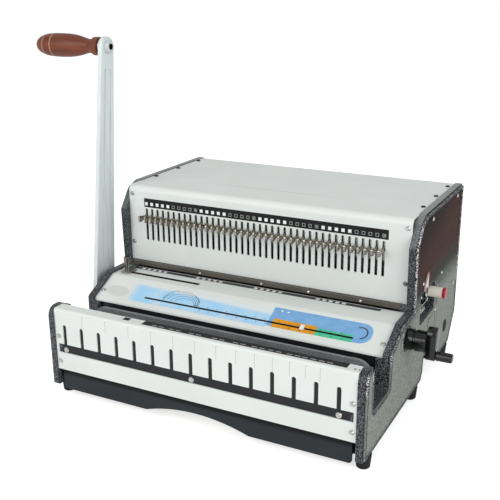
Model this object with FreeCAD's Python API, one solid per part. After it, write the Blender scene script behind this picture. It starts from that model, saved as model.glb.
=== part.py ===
import FreeCAD, Part
import math
import os

# Wire binding machine: a desk punch and wire closer, driven by one side lever.
# Millimetres. While it is drawn, X = 0 is the middle plane, Y = 0 the front sheet and
# Z = 0 the table top under the feet; Y runs to the back. The last step moves the whole
# machine so that its origin is the middle of its footprint.

V = FreeCAD.Vector

# Side frames: two cast cheeks with one outline
body_half = 203.0
frame_thick = 15.5
frame_proud = 1.5
base_z = 16.0
horn_top = 118.5
horn_rear = 23.0
trough_rear = 76.0
trough_floor = 66.0
table_break = (119.0, 127.0)
cheek_lip_z = 106.5
throat_y = 160.0
brow_low = (157.0, 203.0)
brow_mid = (176.0, 229.0)
brow_top = (194.0, 236.0)
body_depth = 369.0
heel_bevel = (28.0, 38.0)
arch_front = (206.0, 214.0)
arch_rear = 272.0
arch_spring = 28.0
arch_top = 50.0
window_y = (190.0, 254.0)
window_z = (101.0, 135.5)
small_round = 2.0
edge_round = 4.0
corner_round = 6.0
brow_round = 12.0
wide_round = 16.0

# Right side cover
cover_thick = 2.5
cover_inset = 2.5
cover_rim = 3.0
cover_web = 1.5
cover_window_y = (186.0, 258.0)
cover_window_z = (98.0, 137.0)
rib_y = ((226.0, 252.0), (262.0, 290.0))
rib_z = ((54.0, 92.0), (54.0, 128.0))
rib_rise = 0.8
brow_screw = (217.5, 224.5)
rear_screw_in = ((34.0, 226.0), (24.0, 102.0))
scale_thick = 1.0
scale_y = (199.0, 215.0)
scale_low = 138.5
scale_high = (146.0, 162.0)

# Sheet metal
sheet = 1.5
cover_sheet = 1.2
table_sheet = 2.0
front_top = 118.0
front_flange = 16.5
front_low = 38.0
band_low = 61.0
band_high = 72.5
slot_tip = 98.0
front_slot_count = 15
front_slot_pitch = 25.4
front_slot_width = 5.2
front_bend = 3.0
pin_row_x = -3.0
comb_z = (55.0, 104.0)
comb_thick = 3.0
comb_screw_z = 65.0
spacer_r = 5.0
beam_web = 6.0
beam_floor = 44.0
table_lip_y = 80.0
table_lip_low = 100.3
table_lip_top = 103.8
table_bend_y = 120.0
table_top = 124.0
table_bend = 5.0
cover_front = 167.0
cover_low = 132.0
cover_top = 235.0
cover_bend = 8.0
cover_rear_bend = 4.0
cover_tail = 228.0
rear_floor_rise = 22.0

# Punch: forty square pins on a 3 to 1 pitch
pin_count = 40
pin_pitch = 25.4 / 3
pin_side = 4.0
pin_hole_gap = 0.35
pin_y = 176.0
pin_tip_z = 141.0
die_top = 124.0
die_thick = 12.0
die_rear = 204.0
guide_low = 126.8
guide_high = 150.0
guide_step = 131.7
guide_step_y = 168.6
tab_rear = 169.0
tab_half = 177.0
bar_y = (170.5, 200.0)
bar_z = (180.0, 205.0)
groove_z = (192.0, 198.0)
groove_rear = 182.0
pull_thick = 2.4
pull_neck = 5.0
pull_flare = 9.8
pull_rear = 181.0
pull_tip = 148.5
pull_neck_end = 157.0
pull_rivet = 1.5
pull_rivet_y = 153.0
pull_rivet_rise = 0.5
pulls_in_group = 10
cover_slot_width = 3.7
spring_seat_half = 9.0
spring_seat_thick = 8.0
spring_post = 22.0
spring_post_r = 3.5
spring_r = 6.0
spring_wire = 0.9
spring_turns = 6
bar_lug_z = (10.0, 3.0)
cover_slot_z = (161.5, 205.5)

# Drive: lever, shaft and two bell cranks
lever_turn = 70.0
shaft_y = 123.5
shaft_z = 48.0
shaft_r = 8.0
jaw_travel = 44.0
punch_travel = 25.0
crank_thick = 8.0
crank_hub_r = 12.0
crank_eye_r = 7.0
crank_pin_r = 3.5
slot_play = 0.35
bush_r = 11.0
bush_flange_r = 14.0
bush_flange = 3.0
turn_fit = 0.05

# Slides
guide_wall = 4.0
slide_gap = 0.3
slide_thick = 5.7
crank_gap = 1.5
arm_gap = 2.5
arm_thick = 7.0
slide_leg_y = (91.7, 114.5)
slide_riser_y = (172.0, 200.0)
slide_bar_z = (82.2, 98.0)
guide_z = (106.0, 206.0)
guide_lip = 2.7

# Closing jaw
jaw_y = (66.0, 70.0)
jaw_z = (50.0, 99.0)
jaw_side_gap = 1.0
jaw_corner = 16.0
arm_z = (71.0, 95.0)
arm_wall = 5.0
rod_x = 110.0
rod_z = 80.0
rod_r = 5.0
rod_end = 150.0
bush_block_half = 10.0
bush_block_deep = 20.0

# Size selector
screw_y = 133.0
screw_z = 104.5
screw_r = 5.0
selector_bush_r = 8.0
knob_hub_r = 12.5
knob_hub_x = (206.0, 229.0)
knob_groove_x = 215.5
hand_arm_x = (229.0, 240.0)
hand_arm_top = (134.5, 119.5)
hand_arm_low = (130.0, 91.5)
hand_arm_top_r = 8.5
hand_arm_low_r = 7.5
hand_grip_r = 5.5
spindle_r = 2.5
hand_grip_end = 259.0
pointer_x = 92.0
pointer_travel = (-214.5, 58.5)
pointer_slot_y = 93.5
pointer_stem = (5.0, 1.6)
pointer_flag = (5.0, 6.0, 1.2)
pointer_rise = 0.6
hanger_thick = 8.0
hanger_neck_y = 128.0
hanger_waist_z = 114.0
nut_half = 11.0
nut_y = (122.5, 143.5)
nut_z = (97.0, 111.0)

# Paper stops
guide_slot_y = 135.0
side_guide_x = -181.0
side_guide_travel = 108.0
guide_stud_r = 2.5
guide_plate_low = 124.3
guide_plate_high = 126.3
guide_reach = 168.3
guide_arm = (-6.0, 1.0)
guide_plate_half = 9.0
thumb_r = 4.8
thumb_flute_r = 0.8
thumb_flutes = 10
thumb_stem_r = 3.3
thumb_collar_r = 4.0
thumb_head_z = (136.5, 145.0)
guide_stud_top = 134.0
guide_nut_r = 5.5
guide_nut_thick = 4.0
gauge_y = 235.0
gauge_z = 127.0
gauge_shaft_r = 4.0
gauge_travel = 2.0
gauge_turn = 60.0
gauge_front = 181.0
gauge_blade_z = (124.4, 126.4)
gauge_half = 170.0
gauge_tab_x = 120.0
gauge_tab_thick = 4.0
eccentric_r = 8.0
dial_r = 6.7
dial_x = (201.5, 218.6, 222.4)
dial_edge = 1.0
bracket_half = 13.0
bracket_drop = 42.0
bracket_rise = 14.0

# Chip drawer
drawer_face_y = 3.0
drawer_face = 2.0
drawer_end = 9.0
drawer_low = 10.5
drawer_high = 37.3
drawer_arch_half = 68.0
drawer_arch_rise = 11.0
tray_half = 160.0
tray_rear = 205.0
tray_floor = 20.5
tray_top = 35.5
tray_flange_z = 24.0
tray_flange = 8.0
rail_inner = 162.5
rail_front = 16.0
rail_rise = 8.0

# Lever, grip and feet
lever_lean = 6.44
lever_length = 369.0
lever_x = (-221.0, -215.0)
lever_root_r = 21.0
lever_tip_r = 12.5
flute_deep = 1.2
flute_shift = 5.5
flute_r = (2.5, 1.6)
flute_share = (0.1, 0.92)
hub_r = 17.0
grip_x = (-330.0, -226.0)
grip_profile = ((0, 11.2, 1), (9, 11.2, 1.5), (17, 8.5, 6), (26, 8.9, 20), (52, 15.2, 30))
grip_end_r = 14.2
grip_end_round = 13.0
grip_bolt_r = 4.0
grip_bolt_x = -316.0
collar_r = 9.0
bolt_head_r = 8.5
bolt_head = 5.0
socket_r = 4.0
socket_deep = 3.0
nut_r = 14.0
nut_thick = 4.5
foot_r = 9.0
foot_front_y = 20.0
foot_middle_y = 190.0
foot_taper = 1.5
foot_recess = 6.0

# Small screws
screw_head_r = 2.8
screw_head = 1.7
screw_shank_r = 1.5
screw_long = 8.0
comb_screw_r = 3.6
nose_screw_r = 1.9
front_screw_z = (82.4, 49.4)
cover_screw_z = 157.0
slope_screw_y = 93.0
back_screw_z = (80.0, 200.0)
top_screw_in = (59.0, 25.0)
top_screw_count = 3
bar_edge = 1.0

# Sizes that follow from the ones above
frame_inner = body_half - frame_thick
sheet_half = body_half - 8
band_half = sheet_half - 3.5
screw_x = frame_inner + 2.5
foot_x = body_half - 6
drawer_half = body_half - 13
cover_rear = body_depth - 3
rear_floor_z = base_z + heel_bevel[1] + 4
beam_rear = front_flange
foot_spots = (foot_front_y, foot_middle_y, body_depth - heel_bevel[0] - foot_r)
side_screw_spots = [brow_screw] + [(body_depth - y, z) for y, z in rear_screw_in]
cover_face = body_half + cover_thick
screw_end_x = knob_hub_x[1] - 6
spindle_x = (hand_arm_x[1] - 6, hand_grip_end - 3)
half_turn = math.radians(lever_turn / 2)
jaw_throw = jaw_travel / 2 / math.sin(half_turn)
punch_throw = punch_travel / 2 / math.sin(half_turn)
guide_face = frame_inner - guide_wall
slide_outer = guide_face - slide_gap
slide_inner = slide_outer - slide_thick
crank_outer = slide_inner - crank_gap
crank_inner = crank_outer - crank_thick
arm_outer = crank_inner - arm_gap
arm_inner = arm_outer - arm_thick
eccentric_throw = gauge_travel / math.sin(math.radians(gauge_turn))
trough_face = table_lip_y + table_sheet
lever_top_y = shaft_y + lever_length * math.sin(math.radians(lever_lean))
lever_top_z = shaft_z + lever_length * math.cos(math.radians(lever_lean))


def point(axis, a, b):
    """A point of a sketch square to an axis: Y-Z for x, X-Z for y and X-Y for z."""
    if axis == "x":
        return V(0, a, b)
    if axis == "y":
        return V(a, 0, b)
    return V(a, b, 0)


def along(axis, distance):
    """A step along one axis."""
    return V(*[distance if name == axis else 0 for name in "xyz"])


def rounded_run(corners, closed):
    """Lines and arcs through corners; a corner is (a, b) or (a, b, radius)."""
    spots = [V(c[0], c[1], 0) for c in corners]
    radii = [c[2] if len(c) > 2 else 0 for c in corners]
    count = len(spots)
    entries = []
    for i, spot in enumerate(spots):
        inner = closed or 0 < i < count - 1
        if not inner or radii[i] <= 0:
            entries.append((spot, None, spot))
            continue
        back = (spots[i - 1] - spot).normalize()
        ahead = (spots[(i + 1) % count] - spot).normalize()
        half = back.getAngle(ahead) / 2
        reach = radii[i] / math.tan(half)
        middle = (back + ahead).normalize()
        top = spot + middle * (radii[i] / math.sin(half) - radii[i])
        entries.append((spot + back * reach, top, spot + ahead * reach))
    return entries


def run_edges(axis, entries, closed):
    """Edges of a run of rounded corners, laid in the sketch plane of an axis."""
    def place(p):
        return point(axis, p.x, p.y)

    edges = []
    pairs = len(entries) if closed else len(entries) - 1
    for i, (start, top, end) in enumerate(entries):
        if top is not None:
            edges.append(Part.Arc(place(start), place(top), place(end)).toShape())
        if i < pairs:
            following = entries[(i + 1) % len(entries)][0]
            if (following - end).Length > 1e-6:
                edges.append(Part.makeLine(place(end), place(following)))
    return edges


def sketch(axis, corners):
    """A flat face with rounded corners."""
    return Part.Face(Part.Wire(run_edges(axis, rounded_run(corners, True), True)))


def prism(axis, span, corners):
    """A sketch drawn out along its axis from one place to another."""
    low, high = min(span), max(span)
    face = sketch(axis, corners)
    face.translate(along(axis, low))
    return face.extrude(along(axis, high - low))


def block(x, y, z):
    """A plain rectangular solid from three spans."""
    corner = V(min(x), min(y), min(z))
    return Part.makeBox(abs(x[1] - x[0]), abs(y[1] - y[0]), abs(z[1] - z[0]), corner)


def rod(axis, span, radius, a, b):
    """A round bar along an axis; a and b place it in the sketch plane."""
    low, high = min(span), max(span)
    start = point(axis, a, b) + along(axis, low)
    return Part.makeCylinder(radius, high - low, start, along(axis, 1))


def turned(axis, a, b, corners):
    """A solid of revolution; corners are (place along the axis, radius, rounding)."""
    other = {"x": "y", "y": "x", "z": "x"}[axis]
    entries = rounded_run(corners, True)

    def place(p):
        return along(axis, p.x) + along(other, p.y)

    edges = []
    for i, (start, top, end) in enumerate(entries):
        if top is not None:
            edges.append(Part.Arc(place(start), place(top), place(end)).toShape())
        following = entries[(i + 1) % len(entries)][0]
        if (following - end).Length > 1e-6:
            edges.append(Part.makeLine(place(end), place(following)))
    solid = Part.Face(Part.Wire(edges)).revolve(V(0, 0, 0), along(axis, 1), 360)
    solid.translate(point(axis, a, b))
    return solid


def chamfered_rod(axis, span, radius, a, b):
    """A round bar along an axis with a small chamfer at each end."""
    low, high = min(span), max(span)
    return turned(axis, a, b, [
        (low, 0), (low, radius - bar_edge), (low + bar_edge, radius),
        (high - bar_edge, radius), (high, radius - bar_edge), (high, 0)])


def window(axis, span, a, b, radius):
    """A rectangle with four equal round corners; a and b are spans."""
    return prism(axis, span, [(a[0], b[0], radius), (a[1], b[0], radius),
                              (a[1], b[1], radius), (a[0], b[1], radius)])


def slot_tool(axis, span, a, b, width):
    """A cutter with round ends; a and b are spans, width is the narrow side."""
    return window(axis, span, a, b, width / 2)


def link(axis, span, first, first_r, second, second_r):
    """A flat lever: the tight band round two circles."""
    start, end = V(first[0], first[1], 0), V(second[0], second[1], 0)
    way = end - start
    lean = math.atan2(way.y, way.x)
    spread = math.acos((first_r - second_r) / way.Length)

    def rim(centre, radius, angle):
        spot = centre + V(math.cos(angle), math.sin(angle), 0) * radius
        return point(axis, spot.x, spot.y)

    left, right = lean + spread, lean - spread
    edges = [
        Part.makeLine(rim(start, first_r, right), rim(end, second_r, right)),
        Part.Arc(rim(end, second_r, right), rim(end, second_r, lean),
                 rim(end, second_r, left)).toShape(),
        Part.makeLine(rim(end, second_r, left), rim(start, first_r, left)),
        Part.Arc(rim(start, first_r, left), rim(start, first_r, lean + math.pi),
                 rim(start, first_r, right)).toShape(),
    ]
    face = Part.Face(Part.Wire(edges))
    face.translate(along(axis, min(span)))
    return face.extrude(along(axis, abs(span[1] - span[0])))


def shifted_line(line, distance):
    """An open line of straight runs moved to its right by a distance."""
    spots = [V(p[0], p[1], 0) for p in line]
    ways = [(spots[i + 1] - spots[i]).normalize() for i in range(len(spots) - 1)]
    sides = [V(w.y, -w.x, 0) for w in ways]
    moved = [spots[0] + sides[0] * distance]
    for i in range(1, len(spots) - 1):
        middle = (sides[i - 1] + sides[i]).normalize()
        moved.append(spots[i] + middle * (distance / middle.dot(sides[i])))
    moved.append(spots[-1] + sides[-1] * distance)
    return [(p.x, p.y) for p in moved]


def bent_sheet(span, line, thickness, radius):
    """A folded sheet: its outer line in Y-Z, its thickness inward, drawn along X."""
    radii = [p[2] if len(p) > 2 else radius for p in line]
    inner_line = shifted_line(line, thickness)
    outer = rounded_run([(p[0], p[1], r) for p, r in zip(line, radii)], False)
    inner = rounded_run([(p[0], p[1], max(r - thickness, 0))
                         for p, r in zip(inner_line, radii)][::-1], False)
    edges = run_edges("x", outer, False) + run_edges("x", inner, False)
    ends = [(outer[-1][2], inner[0][0]), (inner[-1][2], outer[0][0])]
    for a, b in ends:
        edges.append(Part.makeLine(point("x", a.x, a.y), point("x", b.x, b.y)))
    wire = Part.Wire(Part.__sortEdges__(edges))
    face = Part.Face(wire)
    face.translate(along("x", min(span)))
    return face.extrude(along("x", abs(span[1] - span[0])))


def mirrored(solid):
    """The same piece on the other side of the middle plane."""
    return solid.mirror(V(0, 0, 0), V(1, 0, 0))


def pair(solid):
    """One piece on each side of the middle plane."""
    return Part.makeCompound([solid, mirrored(solid)])


def group(solids):
    """Separate solids that share a node."""
    return Part.makeCompound(solids)


def pan_screw(axis, toward, seat, a, b, deep=screw_long, head_r=screw_head_r):
    """A small pan-head screw; toward is +1 or -1, the way that its head faces."""
    middle = seat + toward * screw_head / 2
    top = seat + toward * screw_head
    return turned(axis, a, b, [
        (seat - toward * deep, 0), (seat - toward * deep, screw_shank_r),
        (seat, screw_shank_r), (seat, head_r), (middle, head_r),
        (top, head_r - screw_head / 2), (top, 0)])


def screw_hole(axis, span, a, b):
    """The hole that a small screw's shank fits."""
    return rod(axis, span, screw_shank_r + turn_fit, a, b)


def front_line():
    """Outer line of the front sheet."""
    return [(0, front_low), (0, front_top), (front_flange, front_top)]


def table_line():
    """Outer line of the table sheet, from its front lip to the die."""
    return [(table_lip_y, table_lip_low), (table_lip_y, table_lip_top),
            (table_bend_y, table_top), (throat_y, table_top)]


def cover_line():
    """Outer line of the upper cover: front, top and a short tail at the back."""
    return [(cover_front, cover_low), (cover_front, cover_top),
            (cover_rear, cover_top, cover_rear_bend), (cover_rear, cover_tail)]


def frame_corners():
    """Outline of a side frame."""
    return [
        (-frame_proud, base_z, small_round),
        (-frame_proud, horn_top, brow_round),
        (horn_rear, horn_top, corner_round),
        (horn_rear, trough_floor, edge_round),
        (trough_rear, trough_floor, edge_round),
        (trough_rear, cheek_lip_z, edge_round),
        (*table_break, edge_round),
        (throat_y, table_break[1]),
        (*brow_low, corner_round),
        (*brow_mid, brow_round),
        (*brow_top, brow_round),
        (body_depth, brow_top[1], corner_round),
        (body_depth, base_z + heel_bevel[1], edge_round),
        (body_depth - heel_bevel[0], base_z, edge_round),
    ] + arch_corners()


def arch_corners():
    """The hand hold under a side frame, from back to front."""
    return [
        (arch_rear, base_z, small_round),
        (arch_rear, arch_top, wide_round),
        (arch_front[1], arch_top, brow_round),
        (arch_front[1], arch_spring, small_round),
        (arch_front[0], base_z, small_round),
    ]


def seat_corners():
    """Outline of a frame's inner step, on which the sheets rest."""
    table_seat = shifted_line(table_line(), table_sheet)
    drawer_pocket = drawer_face_y + drawer_end + 2
    return [
        (drawer_pocket, base_z),
        (drawer_pocket, front_low),
        (sheet, front_low),
        (sheet, front_top - sheet, front_bend),
        (horn_rear, front_top - sheet),
        (horn_rear, trough_floor, edge_round),
        (trough_rear, trough_floor, edge_round),
        (trough_rear, table_lip_low),
        (trough_face, table_lip_low),
        (table_seat[1][0], table_seat[1][1], table_bend),
        (table_seat[2][0], table_seat[2][1], table_bend),
        (throat_y, table_top - table_sheet),
        (throat_y, cover_low),
        (cover_front + cover_sheet, cover_low),
        (cover_front + cover_sheet, cover_top - cover_sheet, cover_bend),
        (cover_rear - cover_sheet, cover_top - cover_sheet, cover_rear_bend),
        (cover_rear - cover_sheet, rear_floor_z, edge_round),
        (body_depth - heel_bevel[0] - small_round, base_z, edge_round),
    ] + arch_corners()


def sheet_screw_spots():
    """Where the sheets are screwed to the frames: axis, head side, seat and place."""
    front, rear = cover_front + top_screw_in[0], cover_rear - top_screw_in[1]
    step = (rear - front) / (top_screw_count - 1)
    spots = []
    for x in (-screw_x, screw_x):
        for z in front_screw_z:
            spots.append(("y", -1, 0, x, z))
        for z in (cover_top - cover_bend - screw_head_r, cover_screw_z):
            spots.append(("y", -1, cover_front, x, z))
        for i in range(top_screw_count):
            spots.append(("z", 1, cover_top, x, front + i * step))
        for z in back_screw_z:
            spots.append(("y", 1, cover_rear, x, z))
    return spots


def slope_height(y):
    """Height of the table's slope at a place."""
    share = (y - table_lip_y) / (table_bend_y - table_lip_y)
    return table_lip_top + share * (table_top - table_lip_top)


def on_slope(upright):
    """Two copies of an upright piece at the origin, set square on the table's slope."""
    lean = math.atan2(table_top - table_lip_top, table_bend_y - table_lip_y)
    copies = []
    for x in (-screw_x, screw_x):
        solid = upright.copy()
        solid.rotate(V(0, 0, 0), V(1, 0, 0), math.degrees(lean))
        solid.translate(V(x, slope_screw_y, slope_height(slope_screw_y)))
        copies.append(solid)
    return copies


def panel_screws():
    """All the small screws of the sheets, the side cover and the pin guide's nose."""
    screws = [pan_screw(*spot) for spot in sheet_screw_spots()]
    screws += on_slope(pan_screw("z", 1, 0, 0, 0))
    seat = body_half + cover_web
    screws += [pan_screw("x", 1, seat, y, z) for y, z in side_screw_spots]
    middle = (guide_low + guide_step) / 2
    screws += [pan_screw("y", -1, throat_y, x, middle, head_r=nose_screw_r)
               for x in guide_screw_places()]
    return group(screws)


def sheet_screw_holes():
    """Cutters for the sheet screws, long enough for sheet and frame."""
    holes = []
    for axis, toward, seat, a, b in sheet_screw_spots():
        span = (seat - toward * screw_long, seat + toward * 2)
        holes.append(screw_hole(axis, span, a, b))
    return holes + on_slope(screw_hole("z", (-screw_long, 2), 0, 0))


def right_frame():
    """The right cheek, with its step for the sheets, bores and gauge window."""
    outer = prism("x", (sheet_half, body_half), frame_corners())
    inner = prism("x", (frame_inner, sheet_half), seat_corners())
    frame = outer.fuse(inner)
    span = (frame_inner - 1, body_half + 1)
    cuts = [
        rod("x", span, bush_r, shaft_y, shaft_z),
        rod("x", span, selector_bush_r, screw_y, screw_z),
        window("x", span, window_y, window_z, corner_round),
    ]
    for y, z in side_screw_spots:
        cuts.append(screw_hole("x", (body_half - screw_long, body_half + 1), y, z))
    return frame.cut(cuts + frame_holes()).removeSplitter()


def left_frame():
    """The left cheek: the same outline, with the shaft bore only."""
    outer = prism("x", (sheet_half, body_half), frame_corners())
    inner = prism("x", (frame_inner, sheet_half), seat_corners())
    frame = mirrored(outer.fuse(inner))
    span = (-body_half - 1, -frame_inner + 1)
    return frame.cut([rod("x", span, bush_r, shaft_y, shaft_z)] + frame_holes()).removeSplitter()


def frame_holes():
    """Holes in both frames for the sheet screws and the feet."""
    holes = sheet_screw_holes()
    for x in (-foot_x, foot_x):
        for y in foot_spots:
            holes.append(screw_hole("z", (base_z - 1, base_z + screw_long), x, y))
    return holes


def side_cover():
    """The right side cover: a rim round a sunk panel, with a window for the dial."""
    plate = sketch("x", frame_corners()).makeOffset2D(-cover_inset)
    panel = sketch("x", frame_corners()).makeOffset2D(-cover_inset - cover_rim)
    plate.translate(along("x", body_half))
    cover = plate.extrude(along("x", cover_thick))
    panel.translate(along("x", body_half + cover_web))
    cover = cover.cut(panel.extrude(along("x", cover_thick)))
    face = body_half + cover_web
    raised = [window("x", (face, face + rib_rise), y, z, edge_round)
              for y, z in zip(rib_y, rib_z)]
    raised.append(rod("x", (face, cover_face), knob_hub_r + cover_rim, screw_y, screw_z))
    cover = cover.fuse(raised)
    span = (body_half - 1, cover_face + 1)
    cuts = [
        window("x", span, cover_window_y, cover_window_z, corner_round),
        rod("x", span, selector_bush_r, screw_y, screw_z),
    ]
    for y, z in side_screw_spots:
        cuts.append(screw_hole("x", span, y, z))
    return cover.cut(cuts).removeSplitter()


def front_slot_places():
    """Middles of the front slots."""
    middle = (front_slot_count - 1) / 2
    return [pin_row_x + (i - middle) * front_slot_pitch for i in range(front_slot_count)]


def front_panel():
    """The white front sheet with its long slots, the band below them and a top flange."""
    panel = bent_sheet((-sheet_half, sheet_half), front_line(), sheet, front_bend)
    cuts = [block((-band_half, band_half), (-1, sheet + 1), (band_low, band_high))]
    r = front_slot_width / 2
    for x in front_slot_places():
        cuts.append(slot_tool("y", (-1, sheet + 1), (x - r, x + r),
                              (band_low + 1, slot_tip), front_slot_width))
    return panel.cut(cuts + sheet_screw_holes()).removeSplitter()


def comb_screw_places():
    """The comb bar is held at its ends and in the middle."""
    places = front_slot_places()
    return [places[0], places[len(places) // 2], places[-1]]


def comb_bar():
    """The black bar behind the front slots."""
    bar = block((-frame_inner, frame_inner), (sheet, sheet + comb_thick), comb_z)
    holes = [screw_hole("y", (0, beam_rear), x, comb_screw_z) for x in comb_screw_places()]
    return bar.cut(holes)


def comb_bar_spacers():
    """Round spacers that carry the comb bar off the anvil beam."""
    span = (sheet + comb_thick, beam_rear - beam_web)
    tubes = []
    for x in comb_screw_places():
        tube = rod("y", span, spacer_r, x, comb_screw_z)
        tubes.append(tube.cut(screw_hole("y", (0, beam_rear), x, comb_screw_z)))
    return group(tubes)


def comb_bar_screws():
    """Screws that go through the comb bar and its spacers into the anvil beam."""
    deep = beam_rear - sheet - 1.5
    return group([pan_screw("y", -1, sheet, x, comb_screw_z, deep, comb_screw_r)
                  for x in comb_screw_places()])


def anvil_beam():
    """The channel across the front; wire is closed against its rear face."""
    top = front_top - sheet
    beam = prism("x", (-frame_inner, frame_inner), [
        (sheet, beam_floor), (beam_rear, beam_floor), (beam_rear, top),
        (sheet, top, front_bend), (sheet, top - beam_web),
        (beam_rear - beam_web, top - beam_web),
        (beam_rear - beam_web, beam_floor + beam_web), (sheet, beam_floor + beam_web)])
    holes = [screw_hole("y", (0, beam_rear - 1), x, comb_screw_z) for x in comb_screw_places()]
    return beam.cut(holes)


def closer_trough():
    """The black folded sheet that lines the closer, with slots for what drives the jaw."""
    face = trough_face + sheet
    line = [(face, table_lip_low - slide_gap), (face, beam_floor), (beam_rear, beam_floor)]
    trough = bent_sheet((-frame_inner, frame_inner), line, sheet, front_bend)
    span = (table_lip_y, face + 1)
    cuts = []
    for side in (-1, 1):
        x = (side * (arm_inner - 1), side * (arm_outer + 1))
        cuts.append(block(x, span, (arm_z[0] - 1, arm_z[1] + 1)))
        cuts.append(rod("y", span, rod_r + 1, side * rod_x, rod_z))
    return trough.cut(cuts)


def table_plate():
    """The white table: lip, slope and flat, with the pointer slot and the guide slot."""
    table = bent_sheet((-sheet_half, sheet_half), table_line(), table_sheet, table_bend)
    reach = pointer_stem[0] / 2 + 1.5
    low = pointer_x + pointer_travel[0] - reach
    high = pointer_x + pointer_travel[1] + reach
    r = pointer_stem[1] / 2 + slide_gap
    slot_y = (pointer_slot_y - r, pointer_slot_y + r)
    pointer_slot = slot_tool("z", (table_lip_low, table_top), (low, high), slot_y, 2 * r)
    r = guide_stud_r + slide_gap
    ends = (side_guide_x - r, side_guide_x + side_guide_travel + r)
    guide_slot = slot_tool("z", (table_top - 5, table_top + 5), ends,
                           (guide_slot_y - r, guide_slot_y + r), 2 * r)
    return table.cut([pointer_slot, guide_slot] + sheet_screw_holes())


def pin_places():
    """Middles of the punch pins."""
    middle = (pin_count - 1) / 2
    return [pin_row_x + (i - middle) * pin_pitch for i in range(pin_count)]


def square_holes(z, side):
    """A row of square cutters along the punch line."""
    r = side / 2
    return [block((x - r, x + r), (pin_y - r, pin_y + r), z) for x in pin_places()]


def tabbed_plate(z, rear):
    """A plate between the frames whose back part clears the punch slides."""
    return prism("z", z, [
        (-frame_inner, throat_y), (frame_inner, throat_y), (frame_inner, tab_rear),
        (tab_half, tab_rear), (tab_half, rear), (-tab_half, rear),
        (-tab_half, tab_rear), (-frame_inner, tab_rear)])


def die_plate():
    """The lower plate of the punch, one square hole under each pin."""
    side = pin_side + 2 * pin_hole_gap
    z = (die_top - die_thick, die_top)
    return tabbed_plate(z, die_rear).cut(square_holes((z[0] - 1, z[1] + 1), side))


def guide_screw_places():
    """Screws in the front face of the pin guide."""
    return [-83.6, 6.5, 70.8, 138.5]


def pin_guide():
    """The steel block above the throat that guides the pins; its nose shows in front."""
    plate = tabbed_plate((guide_low, guide_high), die_rear)
    side = pin_side + 2 * pin_hole_gap
    cuts = square_holes((guide_low - 1, guide_high + 1), side)
    cuts.append(block((-frame_inner, frame_inner), (throat_y - 1, guide_step_y),
                      (guide_step, guide_high + 1)))
    middle = (guide_low + guide_step) / 2
    for x in guide_screw_places():
        cuts.append(screw_hole("y", (throat_y - 1, throat_y + screw_long), x, middle))
    return plate.cut(cuts)


def spring_spot():
    """Place of a return spring: X, Y and the height of its fixed end."""
    return tab_half - 3 * spring_seat_half, die_rear + spring_seat_half, guide_high - 10


def spring_seats():
    """Two posts behind the pin guide that carry the return springs."""
    x, y, top = spring_spot()
    half = spring_seat_half
    seat = block((x - half, x + half), (die_rear, y + half), (top - spring_seat_thick, top))
    post = rod("z", (top, top + spring_post), spring_post_r, x, y)
    return pair(seat.fuse(post))


def return_springs():
    """Two springs of flat wire that lift the punch bar."""
    x, y, low = spring_spot()
    high = bar_z[1] - bar_lug_z[0]
    rise = high - low - 2 * spring_wire
    helix = Part.makeHelix(rise / spring_turns, rise, spring_r)
    half = spring_wire
    corners = [V(spring_r + a * half, 0, b * half)
               for a, b in ((-1, -1), (1, -1), (1, 1), (-1, 1), (-1, -1))]
    coil = helix.makePipeShell([Part.makePolygon(corners)], True, True)
    coil.translate(V(x, y, low + spring_wire))
    return pair(coil)


def upper_cover():
    """The white cover over the punch, with one slot for each pin pull."""
    cover = bent_sheet((-sheet_half, sheet_half), cover_line(), cover_sheet, cover_bend)
    r = cover_slot_width / 2
    span = (cover_front - 1, cover_front + cover_sheet + 1)
    cuts = [slot_tool("y", span, (x - r, x + r), cover_slot_z, cover_slot_width)
            for x in pin_places()]
    return cover.cut(cuts + sheet_screw_holes())


def back_panel():
    """The flat sheet that closes the back, under the tail of the cover."""
    span = (cover_rear - cover_sheet, cover_rear)
    panel = block((-sheet_half, sheet_half), span, (rear_floor_z, cover_tail))
    return panel.cut(sheet_screw_holes())


def rear_floor():
    """The sheet that closes the underside behind the chip drawer."""
    front = tray_rear + 3
    line = [(cover_rear - cover_sheet, rear_floor_z), (front, rear_floor_z),
            (front, rear_floor_z + rear_floor_rise)]
    return bent_sheet((-frame_inner, frame_inner), line, sheet, front_bend)


def bush(axis, frame_side, radius, bore, a, b, flange_r):
    """A flanged bush in a frame; its flange lies on the inner face."""
    inner = frame_side * frame_inner
    corners = [
        (inner - frame_side * bush_flange, bore),
        (inner - frame_side * bush_flange, flange_r),
        (inner, flange_r),
        (inner, radius),
        (frame_side * body_half, radius),
        (frame_side * body_half, bore),
    ]
    return turned(axis, a, b, corners)


def shaft_bushes():
    """Bronze bushes of the main shaft."""
    bore = shaft_r + turn_fit
    return group([bush("x", side, bush_r, bore, shaft_y, shaft_z, bush_flange_r)
                  for side in (-1, 1)])


def selector_bearings():
    """The bush in the right frame and the hanger under the table for the lead screw."""
    bore = screw_r + turn_fit
    right = bush("x", 1, selector_bush_r, bore, screw_y, screw_z, selector_bush_r + 2.5)
    near = pointer_x + pointer_travel[0] - nut_half - 4
    far = near - hanger_thick
    hanger = prism("x", (far, near), [
        (nut_y[0], nut_z[0] - 2, edge_round), (nut_y[1], nut_z[0] - 2, edge_round),
        (nut_y[1], hanger_waist_z, edge_round), (hanger_neck_y, hanger_waist_z),
        (hanger_neck_y, table_top - table_sheet), (nut_y[0], table_top - table_sheet)])
    hanger = hanger.cut(rod("x", (far - 1, near + 1), bore, screw_y, screw_z))
    return group([right, hanger])


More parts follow.
